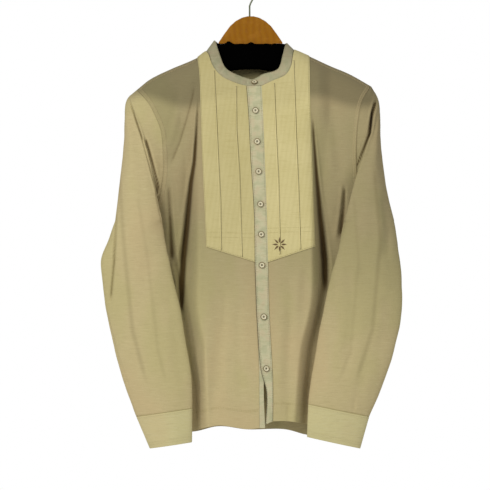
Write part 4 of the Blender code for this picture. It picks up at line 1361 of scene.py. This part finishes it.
# Nets of every cloth
edges = {half: halfEdges(half) for half in bodySides}
fronts = {half: lay("front", frontNet(half, edges[half])) for half in bodySides}
flatBack, backNeckLine = backNet(edges["right"], edges["left"])
back = lay("back", flatBack)
underNet = lay("front", stripNet("underSeam", "underFree", frontEnds["right"], frontEnds["right"]))
placketNet = lay("front", stripNet("freeEdge", "seamEdge", frontEnds["placket"], frontEnds["left"]))
collar = collarNet(edges["right"], edges["left"], backNeckLine)
sleeves = {half: upperSleeve(half, edges[half]["armhole"]) + lowerSleeve(half) for half in bodySides}
print("nets laid")


def facingOf(nets):
    facing = {}
    for net, flip, split in nets:
        addFacing(facing, join(net, flip, split))
    return facing


for half in bodySides:
    rough = facingOf([(sleeves[half], half == "left", False)])
    for i, j, point in list(crumple(half, sleeves[half], rough)):
        sleeves[half][i][j] = point
cuffs = {half: cuffNet(half, sleeves[half][-1]) for half in bodySides}

nets = {
    "back": (withNearLines(back, top=True, first=True, last=True), False, False),
    "placket_under": (withNearLines(underNet, first=True), True, False),
    "collar": (withNearLines(collar, top=True, bottom=True), False, True),
}
for half in bodySides:
    flip = half == "left"
    nets["front_" + half] = (withNearLines(fronts[half], top=True, first=True, last=True), flip, False)
    nets["sleeve_" + half] = (withNearLines(sleeves[half], bottom=True, first=True, last=True), flip, False)
    nets["cuff_" + half] = (withNearLines(cuffs[half], top=True, bottom=True), flip, False)
facing = facingOf(nets.values())
for half in bodySides:  # the cloth arches under the arm
    facing[mark(fronts[half][spans["armhole"]][-1])] = Vector((0.12 * bodySides[half], 0, -1))
print("facings found")


# The hanger's padded arms
pad = {
    "top": 132, "halfLong": 204, "stations": 103, "sides": 30, "neck": 63, "shoulder": 78, "endRounding": 16,
    "endSize": 0.35, "tenonHalf": 48.3, "tenonEnd": 158.3, "slotThick": 12.6, "slotTall": 60, "underCloth": 1.2,
    "coverThick": 0.5, "squareness": 4, "pullSize": (7, 9, 26), "pullHeight": 0.5, "pullDepth": 0.35,
    "pullFrom": 3, "gatherFront": -7.5, "fill": 0.8,
    "bumps": table(
        "x rise width",
        (-49, 5, 4), (-41, 6, 7), (-18, 1.6, 8), (1, 4.6, 6), (30, 1.8, 8), (48, 5, 4), (58, 5.5, 7),
    ),
    "rows": table(
        "out bottom halfThick clear",
        (0, 181, 14, 3), (20, 181.5, 14, 3), (60, 188, 9, 3), (90, 199, 8, 3), (120, 212, 12, 1.2),
        (180, 240, 12, 1.2), (204, 250, 11, 1.2),
    ),
}

# Shading levels: folds are darker, and so is thin cloth over the black pad.
foldShade = {
    "from": 1.6, "bodyDeep": 6, "bodyMost": 0.92, "sleeveDeep": 4.5, "sleeveMost": 0.85, "troughShare": 0.45,
    "lowDown": 640, "lowFade": 60, "lowLost": 0.7,
}
padShadow = {
    "down": 230, "wave": 10, "waveLong": 26, "fade": 26, "past": 14, "endFade": 30, "lowDown": 430,
    "lowFade": 330, "lowLost": 0.95,
}
# Painted shade for each piece: a level all over, for pieces that fall in shade, and more where the black pad shows
# through the thin cloth.
padShadeShares = {  # the level all over, and what is added over the pad
    "back": (0.0, 0.1), "front": (0.36, 0.36), "sleeve_right": (0.04, 0.42), "sleeve_left": (0.4, 0.42),
    "bib_right": (0.17, 0.12), "bib_left": (0.0, 0.12), "seam": (0.3, 0.34),
}
collarShadow = {"most": 0.5, "lost": 0.26, "down": 150, "fade": 40}


def bodyFoldShade(name):
    # painted shade in the creases and troughs, less of it low on the body
    def deep(point):
        trough = foldShade["troughShare"] * troughDepth(name, point.x, -point.z)
        depth = creaseDepth(name, point.x, -point.z) + trough
        low = 1 - foldShade["lowLost"] * smooth((-point.z - foldShade["lowDown"]) / foldShade["lowFade"])
        return foldShade["bodyMost"] * smooth((depth - foldShade["from"]) / foldShade["bodyDeep"]) * low
    return deep


def sleeveFold(half):
    names = ["sleeve" + half.capitalize() + side for side in ("Front", "Back")]

    # painted shade in the sleeve's creases
    def deep(point):
        depth = max(creaseDepth(name, point.x, -point.z) for name in names)
        return foldShade["sleeveMost"] * smooth((depth - foldShade["from"]) / foldShade["sleeveDeep"])
    return deep


def paintedShadeOverPad(name):
    # painted shade: the piece's level all over, and darker above the pad's lower edge, where the black pad lies under
    # the thin cloth
    base, more = padShadeShares[name]

    def dark(point):
        edge = padShadow["down"] + padShadow["wave"] * math.sin(point.x / padShadow["waveLong"])
        above = 1 - smooth((-point.z - edge) / padShadow["fade"])
        end = 1 - smooth((abs(point.x) - pad["halfLong"] - padShadow["past"]) / padShadow["endFade"])
        low = 1 - padShadow["lowLost"] * smooth((-point.z - padShadow["lowDown"]) / padShadow["lowFade"])
        return base * low + more * end * above
    return dark


def paintedCollarShade(point):
    # painted shade on the collar, darker towards its top
    down = smooth((-point.z - collarShadow["down"]) / collarShadow["fade"])
    return collarShadow["most"] - collarShadow["lost"] * down


seam, side, rim, band = (cloth[name] for name in ("seamDip", "sideDip", "rimDip", "bandDip"))
cloths = {}


def dressNet(name, material, dips, thick=None, fold=None, sheer=None):
    net, flip, split = nets[name]
    cloths[name] = clothPiece(
        name + "_cloth", net, facing, finishes[material], [name], flip, split, thick, 0.0, dips, None, fold, sheer
    )


seams = [("top", seam), ("first", seam), ("last", seam)]
dressNet("back", "jersey", seams, fold=bodyFoldShade("back"), sheer=paintedShadeOverPad("back"))
dressNet("placket_under", "beige", [("first", seam)])
dressNet("collar", "beige", [("top", rim), ("bottom", seam)], thick=cloth["collarThick"], sheer=paintedCollarShade)
for half in bodySides:
    sides = [("first", side), ("last", side)]
    dressNet("front_" + half, "jersey", [("top", seam)] + sides, fold=bodyFoldShade("front"), sheer=paintedShadeOverPad("front"))
    sleeve = "sleeve_" + half
    dressNet(sleeve, "jersey", [("bottom", rim)] + sides, fold=sleeveFold(half), sheer=paintedShadeOverPad(sleeve))
    dressNet("cuff_" + half, "cuff", [("top", seam), ("bottom", band)], thick=cloth["cuffThick"])
print("panels made")

# What lies on the fronts: bibs with tucks, and the top placket
tuck = {"width": 3.4, "height": 0.45, "stitchIn": 1.3, "gap": 0.4, "radius": 0.52}
bib = {"lean": 0.0375, "edgeLineIn": 0.55, "footLineIn": 0.28, "footEdgeIn": 0.01, "footEdgeSunk": 0.5}
placketEdgeShadow = {"out": 0.12, "sunk": 0.5, "gap": 0.4, "radius": 0.75}
placketLines = (0.09, 0.91)
upperRows = spans["armhole"] + spans["bibSide"]
bibColumns = spans["neck"] + spans["bibShoulder"]
bibs, tucks, measures = {}, {}, {}
for half in bodySides:
    name, flip, top = "bib_" + half, half == "left", cloth["bibLift"]
    shadow = paintedShadeOverPad(name)
    raw = [row[: bibColumns + 1] for row in fronts[half][: upperRows + 1]]
    net = withNearLines(raw, bottom=True, last=True)
    bibFacing = facingOf([(net, flip, False)])
    bibFacing.update({key: facing[key] for key in bibFacing if key in facing})
    # the stripes lean as the tucks do
    uv = [[((point.x + bib["lean"] * point.z) * mm, -point.z * mm) for point in row] for row in net]
    bibs[half] = clothPiece(
        name + "_cloth", net, bibFacing, finishes["bib"], [name], flip, False, cloth["bibThick"], top,
        [("bottom", cloth["bibDip"]), ("last", cloth["bibDip"])], uv, bodyFoldShade("front"), shadow,
    )
    measures[name] = netMeasure(net)
    tucks[half] = []
    for number, line in enumerate(halves[half]["tucks"], 1):
        path = bodyPath("front", [photoSpot(*pair) for pair in line], top)
        strip = makeStrip(f"tuck_{half}_{number}", path, tuck["width"], tuck["height"], finishes["bib"], shadow)
        tucks[half].append(strip)
        # The tuck stitches are thick and close: dark thread, and painted shadow of each tuck's fold.
        sewn = [(at - across * tuck["stitchIn"] + out * tuck["height"], out) for at, out, across in sideways(path)]
        sew("olive", sewn, gap=tuck["gap"], radius=tuck["radius"])
    rawFacing = facingOf([(raw, flip, False)])
    edgeLine = [(i / 2, bibColumns - bib["edgeLineIn"]) for i in range(2, 2 * upperRows)]
    sew("olive", netPath(raw, rawFacing, edgeLine, top))
    footLine, footEdge = (
        [(upperRows - bib[name], j / 2) for j in range(2 * bibColumns)] for name in ("footLineIn", "footEdgeIn")
    )
    sew("olive", netPath(raw, rawFacing, footLine, top))
    sew("olive", netPath(raw, rawFacing, footEdge, top - bib["footEdgeSunk"]), gap=0.2, radius=0.4)

under = cloth["placketLift"]
placketRows = range(len(placketNet))
placketFacing = facingOf([(placketNet, True, False)])
placketShell = withNearLines(placketNet, first=True, last=True, bottom=True)
placket = clothPiece(
    "placket_cloth", placketShell, facingOf([(placketShell, True, False)]), finishes["beige"], ["placket"],
    True, False, cloth["placketThick"], under,
    [("first", band), ("last", band), ("bottom", cloth["placketHemDip"])],
)
# Dark stitches sunk along the placket's free edge are painted shadow under that edge.
edgeLine = [(i, -placketEdgeShadow["out"]) for i in placketRows]
edgeShadowPath = netPath(placketNet, placketFacing, edgeLine, under - placketEdgeShadow["sunk"])
sew("dark", edgeShadowPath, gap=placketEdgeShadow["gap"], radius=placketEdgeShadow["radius"])
bibLines = table(  # sewn across the bibs, by pixels of the photograph
    "startX startY endX endY",
    (206.5, 232.5, 253.5, 233.5), (206.8, 237, 253.8, 238), (267.5, 228.5, 313.8, 227), (267.6, 232.8, 314, 231.4),
)
for row in bibLines:
    ends = [photoSpot(row["startX"], row["startY"]), photoSpot(row["endX"], row["endY"])]
    sew("khaki", bodyPath("front", ends, cloth["bibLift"]), gap=0.6, radius=0.3)
for across in placketLines:
    line = [(i, across * spans["placket"]) for i in placketRows]
    sew("olive", netPath(placketNet, placketFacing, line, under))
print("bibs and placket made")

# Stitch lines of the panels: distances from the seam or edge, and spans of the nets where named so
seamLines = {
    "armhole": (2.4, 6.8), "armholeBand": 4.6, "armholeWide": 7.0, "armholeEnds": 4, "shoulder": (2.4, 6.4),
    "shoulderBand": 4.4, "shoulderWide": 6, "bandHigh": 0.4, "backShoulder": ((3, -2), (6, -3), (10.5, -3)),
    "hem": (32, 34.5), "sleeveSpansIn": 4, "sleeveFromSpan": 8, "cuffSpans": (1.2, 14.8, 16.0), "collarSpans": 0.9,
    "lift": 0.1, "netLift": 0.05,
}


def sewBelow(group, name, line, down, lift=seamLines["lift"], **size):
    sew(group, bodyPath(name, [point + Vector((0, down)) for point in line], lift), **size)


def sewRound(group, net, row, lift=seamLines["netLift"], **size):
    sew(group, netPath(net, facing, [(row, j) for j in range(len(net[0]))], lift), **size)


for half in bodySides:
    sign, left, ends = bodySides[half], half == "left", seamLines["armholeEnds"]
    armLine = flatLine(edges[half]["armhole"])[ends:]
    for name in ("front", "back"):
        path = bodyPath(name, offsetLine(armLine, seamLines["armholeBand"] * sign)[:-ends])
        path = path if (name == "front") == left else path[::-1]
        makeStrip(
            f"armhole_seam_{name}_{half}", path, seamLines["armholeWide"], seamLines["bandHigh"],
            finishes["jersey"], paintedShadeOverPad("seam"),
        )
        for away in seamLines["armhole"]:
            sew("pink", bodyPath(name, offsetLine(armLine, away * sign)[:-ends], 0.35), gap=0.6, radius=0.34)
    shoulderLine = flatLine(edges[half]["shoulderOuter"])
    ridge = [point + Vector((0, seamLines["shoulderBand"])) for point in shoulderLine[1:-2]]
    makeStrip(
        "shoulder_seam_" + half, bodyPath("front", ridge if left else ridge[::-1]), seamLines["shoulderWide"],
        seamLines["bandHigh"], finishes["jersey"], paintedShadeOverPad("seam"),
    )
    for down in seamLines["shoulder"]:
        sewBelow("pink", "front", ridge, down - seamLines["shoulderBand"], 0.3, radius=0.32)
    for down, end in seamLines["backShoulder"]:
        sewBelow("cream", "back", shoulderLine[:end], down)
    for up in seamLines["hem"]:
        sewBelow("khaki", "front", flatLine(fronts[half][-1])[1:-3], -up)
    outerColumn = sum(sectionSpans[:5]) - seamLines["sleeveSpansIn"]
    line = [(i, outerColumn) for i in range(seamLines["sleeveFromSpan"], len(sleeves[half]))]
    sew("cream", netPath(sleeves[half], facing, line, seamLines["netLift"]))
    sewRound("khaki", cuffs[half], 0.1, -0.2, gap=0.3, radius=0.5)
    for down in seamLines["cuffSpans"]:
        sewRound("cream", cuffs[half], down)
for up in seamLines["hem"]:
    sewBelow("khaki", "back", flatLine(back[-1])[3:-3], -up)
for down in (seamLines["collarSpans"], spans["collar"] - seamLines["collarSpans"]):
    sewRound("olive", collar, down)

# A plain eight-leaf flower in thread, on the left bib
flower = {
    "x": 55, "down": 514, "leaves": 8, "leafLong": 14, "leafWide": 4.4, "heart": 3.0, "rows": 7, "taper": 0.9,
    "narrow": 0.6, "lift": 0.1, "tuckLift": 0.55, "stitchLong": 3.4, "stitchGap": 0.1, "stitchRadius": 0.45,
}
middle = Vector((flower["x"], flower["down"]))
for leaf in range(flower["leaves"]):
    angle = math.tau * leaf / flower["leaves"]
    away = Vector((math.cos(angle), math.sin(angle)))
    aside = Vector((-away.y, away.x))
    lift = flower["tuckLift"] if abs(away.x) < 0.1 else flower["lift"]  # the upright leaves lie on a tuck
    for row in range(flower["rows"]):
        across = (row / (flower["rows"] - 1) - 0.5) * flower["leafWide"]
        reach = flower["leafLong"] * (1 - abs(across) / flower["leafWide"] * flower["taper"])
        start = middle + away * (flower["heart"] + abs(across)) + aside * across * flower["narrow"]
        end = middle + away * reach + aside * across
        path = bodyPath("front", [start, end], cloth["bibLift"] + lift)
        sew("brown", path, flower["stitchLong"], flower["stitchGap"], flower["stitchRadius"])

for group, (points, faces) in stitchGroups.items():
    mesh = bpy.data.meshes.new("stitches_" + group)
    mesh.from_pydata([point * mm for point in points], [], faces)
    ridePiece("stitches_" + group, mesh, finishes[group])
    print("stitches", group, len(faces) // (3 * stitch["sides"]))

# Buttons, one modelled and copied
button = {
    "radius": 6.0, "thick": 2.6, "corners": 40, "rim": 1.1, "rimSlope": 0.5, "dish": 0.55, "underScale": 0.88,
    "rounding": 0.4, "roundingFrom": 35, "darkEdge": 1.35, "holes": 4, "holeCorners": 14, "holeRadius": 0.85,
    "holeOut": 1.35, "threadRadius": 0.55, "threadApart": 0.3, "threadRise": 0.35, "threadEnd": 0.7,
    "threadOver": 0.2, "threadSunk": 0.1, "threadShare": 0.707, "lift": 2.3, "collarLift": 1.2,
    "collarShare": 0.62, "turn": 0.4,
}
seats = table(
    "x down",
    (9.3, 260), (12.5, 318.8), (15.2, 375.6), (18.8, 437.2), (20, 494.8), (21.3, 553.1), (25, 650.8), (29.8, 748.9),
)


def selectOnly(piece):
    if bpy.context.object and bpy.context.object.mode != "OBJECT":
        bpy.ops.object.mode_set(mode="OBJECT")
    bpy.ops.object.select_all(action="DESELECT")
    piece.select_set(True)
    bpy.context.view_layer.objects.active = piece


def pickFaces(piece, test):
    bpy.ops.object.mode_set(mode="EDIT")
    bpy.ops.mesh.select_mode(type="FACE")
    bpy.ops.mesh.select_all(action="DESELECT")
    bpy.ops.object.mode_set(mode="OBJECT")
    for face in piece.data.polygons:
        face.select = test(face)
    bpy.ops.object.mode_set(mode="EDIT")


def applyAll(piece):
    selectOnly(piece)
    for modifier in list(piece.modifiers):
        bpy.ops.object.modifier_apply(modifier=modifier.name)


def modelButton():
    radius, thick = button["radius"] * mm, button["thick"] * mm
    bpy.ops.object.select_all(action="DESELECT")
    bpy.ops.mesh.primitive_cylinder_add(
        vertices=button["corners"], radius=radius, depth=thick, location=(0, 0, thick / 2)
    )
    body = bpy.context.object
    bpy.ops.object.transform_apply(location=True)
    pickFaces(body, lambda face: face.normal.z > 0.9)
    bpy.ops.mesh.inset(thickness=button["rim"] * mm, depth=0)
    bpy.ops.mesh.inset(thickness=button["rimSlope"] * mm, depth=-button["dish"] * mm)
    bpy.ops.object.mode_set(mode="OBJECT")
    pickFaces(body, lambda face: face.normal.z < -0.9)
    bpy.ops.transform.resize(value=(button["underScale"], button["underScale"], 1))
    bpy.ops.object.mode_set(mode="OBJECT")
    rounding = body.modifiers.new("Rounding", "BEVEL")
    rounding.width, rounding.segments, rounding.limit_method = button["rounding"] * mm, 3, "ANGLE"
    rounding.angle_limit = math.radians(button["roundingFrom"])
    applyAll(body)
    cutters = []
    holeOut, holeRadius = button["holeOut"] * mm, button["holeRadius"] * mm
    for k in range(button["holes"]):
        angle = math.tau * (k + 0.5) / button["holes"]
        place = (holeOut * math.cos(angle), holeOut * math.sin(angle), thick / 2)
        bpy.ops.object.select_all(action="DESELECT")
        bpy.ops.mesh.primitive_cylinder_add(
            vertices=button["holeCorners"], radius=holeRadius, depth=2 * thick, location=place
        )
        cutters.append(bpy.context.object)
    for cutter in cutters:
        hole = body.modifiers.new("Hole", "BOOLEAN")
        hole.operation, hole.object, hole.solver = "DIFFERENCE", cutter, "EXACT"
    applyAll(body)
    for cutter in cutters:
        bpy.data.objects.remove(cutter)
    # The outer ring takes the dark tone: partly the button's own rim, partly painted shadow.
    for face in body.data.polygons:  # the edge is darker than the face
        face.material_index = 1 if face.center.xy.length > (button["radius"] - button["darkEdge"]) * mm else 0
    return body


def modelThread():
    points, faces = [], []
    top = button["thick"] - button["dish"] - button["threadSunk"]
    out = button["holeOut"] * button["threadShare"]
    over, up = button["threadOver"], Vector((0, 0, 1))
    for side in (-out, out):
        for apart in (-button["threadApart"], button["threadApart"]):
            a, b = Vector((-out, side + apart, top)), Vector((out, side + apart, top))
            middle = (a + b) / 2 + up * button["threadRise"]
            lower = Vector((over, 0, -button["threadEnd"]))
            addSpindle(points, faces, a - Vector((over, 0, button["threadEnd"])), middle, up, button["threadRadius"])
            addSpindle(points, faces, middle - Vector((over, 0, 0)), b + lower, up, button["threadRadius"])
    mesh = bpy.data.meshes.new("button_thread")
    mesh.from_pydata([point * mm for point in points], [], faces)
    return mesh


buttonBody, threadMesh = modelButton(), modelThread()
collarRise, collarRun = collar[0][-3] - collar[-1][-3], collar[-1][-5] - collar[-1][-2]
collarOut = collarRise.cross(collarRun).normalized()
collarOut = collarOut if collarOut.y < 0 else -collarOut
collarColumn = len(collar[0]) - 1 - spans["placket"] / 2
collarEnds = netPath(collar, facing, [(0, collarColumn), (spans["collar"], collarColumn)])
collarSeat = mix(collarEnds[0][0], collarEnds[1][0], button["collarShare"])
places = [(collarSeat, collarOut, button["collarLift"])]
for seat in seats:
    at, out = bodySide("front", seat["x"], seat["down"])
    places.append((at, out, button["lift"]))
for number, (at, out, lift) in enumerate(places, 1):
    turn = Matrix.Translation((at + out * lift) * mm) @ out.to_track_quat("Z", "Y").to_matrix().to_4x4()
    turn = turn @ Matrix.Rotation(button["turn"] * math.sin(3.1 * number), 4, "Z")
    mesh = buttonBody.data.copy()
    mesh.transform(turn)
    ridePiece(f"button_{number}_pearl", mesh, finishes["pearl"], [f"button_{number}"])
    mesh.materials.append(finishes["horn"])
    mesh.set_sharp_from_angle(angle=math.radians(45))
    threadCopy = threadMesh.copy()
    threadCopy.transform(turn)
    ridePiece(f"button_{number}_thread", threadCopy, finishes["dark"])
bpy.data.objects.remove(buttonBody)
print("buttons made")

# The hanger: padded arms under a wooden neck
def padTop(x):
    half, out = ("left" if x > 0 else "right"), abs(x)
    underCloth = shoulderDown(half, out) + pad["underCloth"] + value(pad["rows"], "out", "clear", out)
    return mix(pad["top"], underCloth, smooth((out - pad["neck"]) / (pad["shoulder"] - pad["neck"])))


def makePad():
    points, faces = [], []
    stations, sides = pad["stations"], pad["sides"]
    for i in range(stations):
        x = mix(-pad["halfLong"], pad["halfLong"], i / (stations - 1))
        end = min((pad["halfLong"] - abs(x)) / pad["endRounding"], 1.0)
        scale = math.sqrt(1 - (1 - end) ** 2) * (1 - pad["endSize"]) + pad["endSize"]
        top, bottom = padTop(x), value(pad["rows"], "out", "bottom", abs(x))
        thick = (value(pad["rows"], "out", "halfThick", abs(x)) - pad["coverThick"]) * scale
        centre, tall = (top + bottom) / 2, (bottom - top) / 2 * scale
        rise = sum(row["rise"] * math.exp(-(((x - row["x"]) / row["width"]) ** 2)) for row in pad["bumps"])
        for k in range(sides):
            angle = math.tau * k / sides
            power = pad["squareness"]
            box = (abs(math.sin(angle)) ** power + abs(math.cos(angle)) ** power) ** (-1 / power)
            y, z = math.sin(angle) * box * thick, math.cos(angle) * box * tall - centre
            place = Vector([at / size for at, size in zip((x, y, z), pad["pullSize"])])
            pull = pad["pullHeight"] * noise.noise(place) - pad["pullDepth"]
            y += math.copysign(min(pull, 0.0), y) if abs(y) > pad["pullFrom"] else 0
            if y < pad["gatherFront"] and math.cos(angle) > 0:  # the gathers stand up in front of the wood
                z += rise * smooth(math.cos(angle) * 2)
            points.append(Vector((x, y, z)))
    faces = [list(range(sides))[::-1], list(range(len(points) - sides, len(points)))]
    for i in range(stations - 1):
        for k in range(sides):
            a, b = i * sides + k, i * sides + (k + 1) % sides
            faces.append([a, b, b + sides, a + sides])
    mesh = bpy.data.meshes.new("pad")
    mesh.from_pydata([point * mm for point in points], [], faces)
    piece = ridePiece("pad_cover", mesh, finishes["pad"], ["hanger_pad"])
    bpy.ops.object.select_all(action="DESELECT")
    bpy.ops.mesh.primitive_cube_add(size=1, location=(0, 0, -(pad["tenonEnd"] - pad["slotTall"] / 2) * mm))
    cutter = bpy.context.object
    cutter.scale = (2 * pad["tenonHalf"] * mm, pad["slotThick"] * mm, pad["slotTall"] * mm)
    slot = piece.modifiers.new("Slot", "BOOLEAN")
    slot.operation, slot.object, slot.solver = "DIFFERENCE", cutter, "EXACT"
    applyAll(piece)
    bpy.data.objects.remove(cutter)
    return piece


padPiece = makePad()
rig.padded(padPiece, fill=pad["fill"])
for name, finish in (("hanger_wood", "wood"), ("hanger_hook", "wire")):
    node = frame["nodes"][name]
    node.data.materials.clear()
    node.data.materials.append(finishes[finish])
print("hanger dressed")

# What each cloth was cut to
for name, (net, _, _) in nets.items():
    measures[name] = netMeasure(net)
measures["placket"] = netMeasure(placketNet)
rest = {name: ["hanger_pad"] for name in ("front_right", "front_left", "back")}
pieces = {**cloths, "placket": placket, "bib_right": bibs["right"], "bib_left": bibs["left"]}
for name, piece in pieces.items():
    wideCut, longCut, areaCut = measures[name]
    onIt = tucks[name[4:]] if name.startswith("bib_") else ()
    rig.sheet(piece, flat=(wideCut, longCut), held="hung", rests_on=rest.get(name, ()), area=areaCut, with_pieces=onIt)
    print(f"cut {name} {wideCut * 1000:.0f} x {longCut * 1000:.0f} mm, {areaCut:.4f} m2")

# Stage, light and camera
stage = {
    "floorDown": 1.25, "floorSize": 3.2, "worldStrength": 0.5, "cameraAway": 10.0, "frameWide": 0.931,
    "aimX": -0.0105, "aimZ": -0.515, "sensor": 36, "farEnd": 50,
}
lights = table(
    "name place aim power size",
    ("key", (-1.6, -2.6, 0.9), (0, 0, -0.45), 66, 1.5), ("fill", (1.9, -2.4, -0.1), (0, 0, -0.5), 12, 2.0),
)


def addLight(name, place, aim, power, size):
    lamp = bpy.data.lights.new(name, "AREA")
    lamp.energy, lamp.size = power, size
    light = bpy.data.objects.new(name, lamp)
    bpy.context.scene.collection.objects.link(light)
    light.location = place
    light.rotation_euler = (Vector(aim) - Vector(place)).to_track_quat("-Z", "Y").to_euler()


def makeStage():
    bpy.ops.object.select_all(action="DESELECT")
    bpy.ops.mesh.primitive_plane_add(size=stage["floorSize"], location=(0, 0, -stage["floorDown"]))
    floor = bpy.context.object
    floor.name = "floor"
    made = Finish("pale floor", 0.9)
    cloud = made.grain(made.objectPlace(), 3.0)
    made.feed("Base Color", made.blendColours(cloud, colour(232, 232, 230), colour(238, 238, 236)))
    floor.data.materials.append(made.material)
    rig.stage(floor)
    world = bpy.data.worlds.new("studio")
    world.use_nodes = True
    tree = world.node_tree
    light, backdrop = tree.nodes["Background"], tree.nodes.new("ShaderNodeBackground")
    light.inputs["Color"].default_value = backdrop.inputs["Color"].default_value = (1, 1, 1, 1)
    light.inputs["Strength"].default_value = stage["worldStrength"]
    path, either = tree.nodes.new("ShaderNodeLightPath"), tree.nodes.new("ShaderNodeMixShader")
    tree.links.new(path.outputs["Is Camera Ray"], either.inputs[0])  # the backdrop is white and the light softer
    tree.links.new(light.outputs[0], either.inputs[1])
    tree.links.new(backdrop.outputs[0], either.inputs[2])
    tree.links.new(either.outputs[0], tree.nodes["World Output"].inputs["Surface"])
    bpy.context.scene.world = world
    for row in lights:
        addLight(**row)
    camera = bpy.data.cameras.new("camera")
    camera.sensor_width = stage["sensor"]
    camera.lens = stage["sensor"] * stage["cameraAway"] / stage["frameWide"]
    camera.clip_end = stage["farEnd"]
    eye = bpy.data.objects.new("camera", camera)
    bpy.context.scene.collection.objects.link(eye)
    eye.location = (stage["aimX"], -stage["cameraAway"] - 0.02, stage["aimZ"])
    eye.rotation_euler = (math.radians(90), 0, 0)
    bpy.context.scene.camera = eye
    bpy.context.scene.view_settings.view_transform = "Standard"


makeStage()
print("stage set")

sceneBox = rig.bounds()
with open("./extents.json", "w") as file:
    json.dump({"cad": [list(corner) for corner in cadBox], "scene": [list(corner) for corner in sceneBox]}, file)
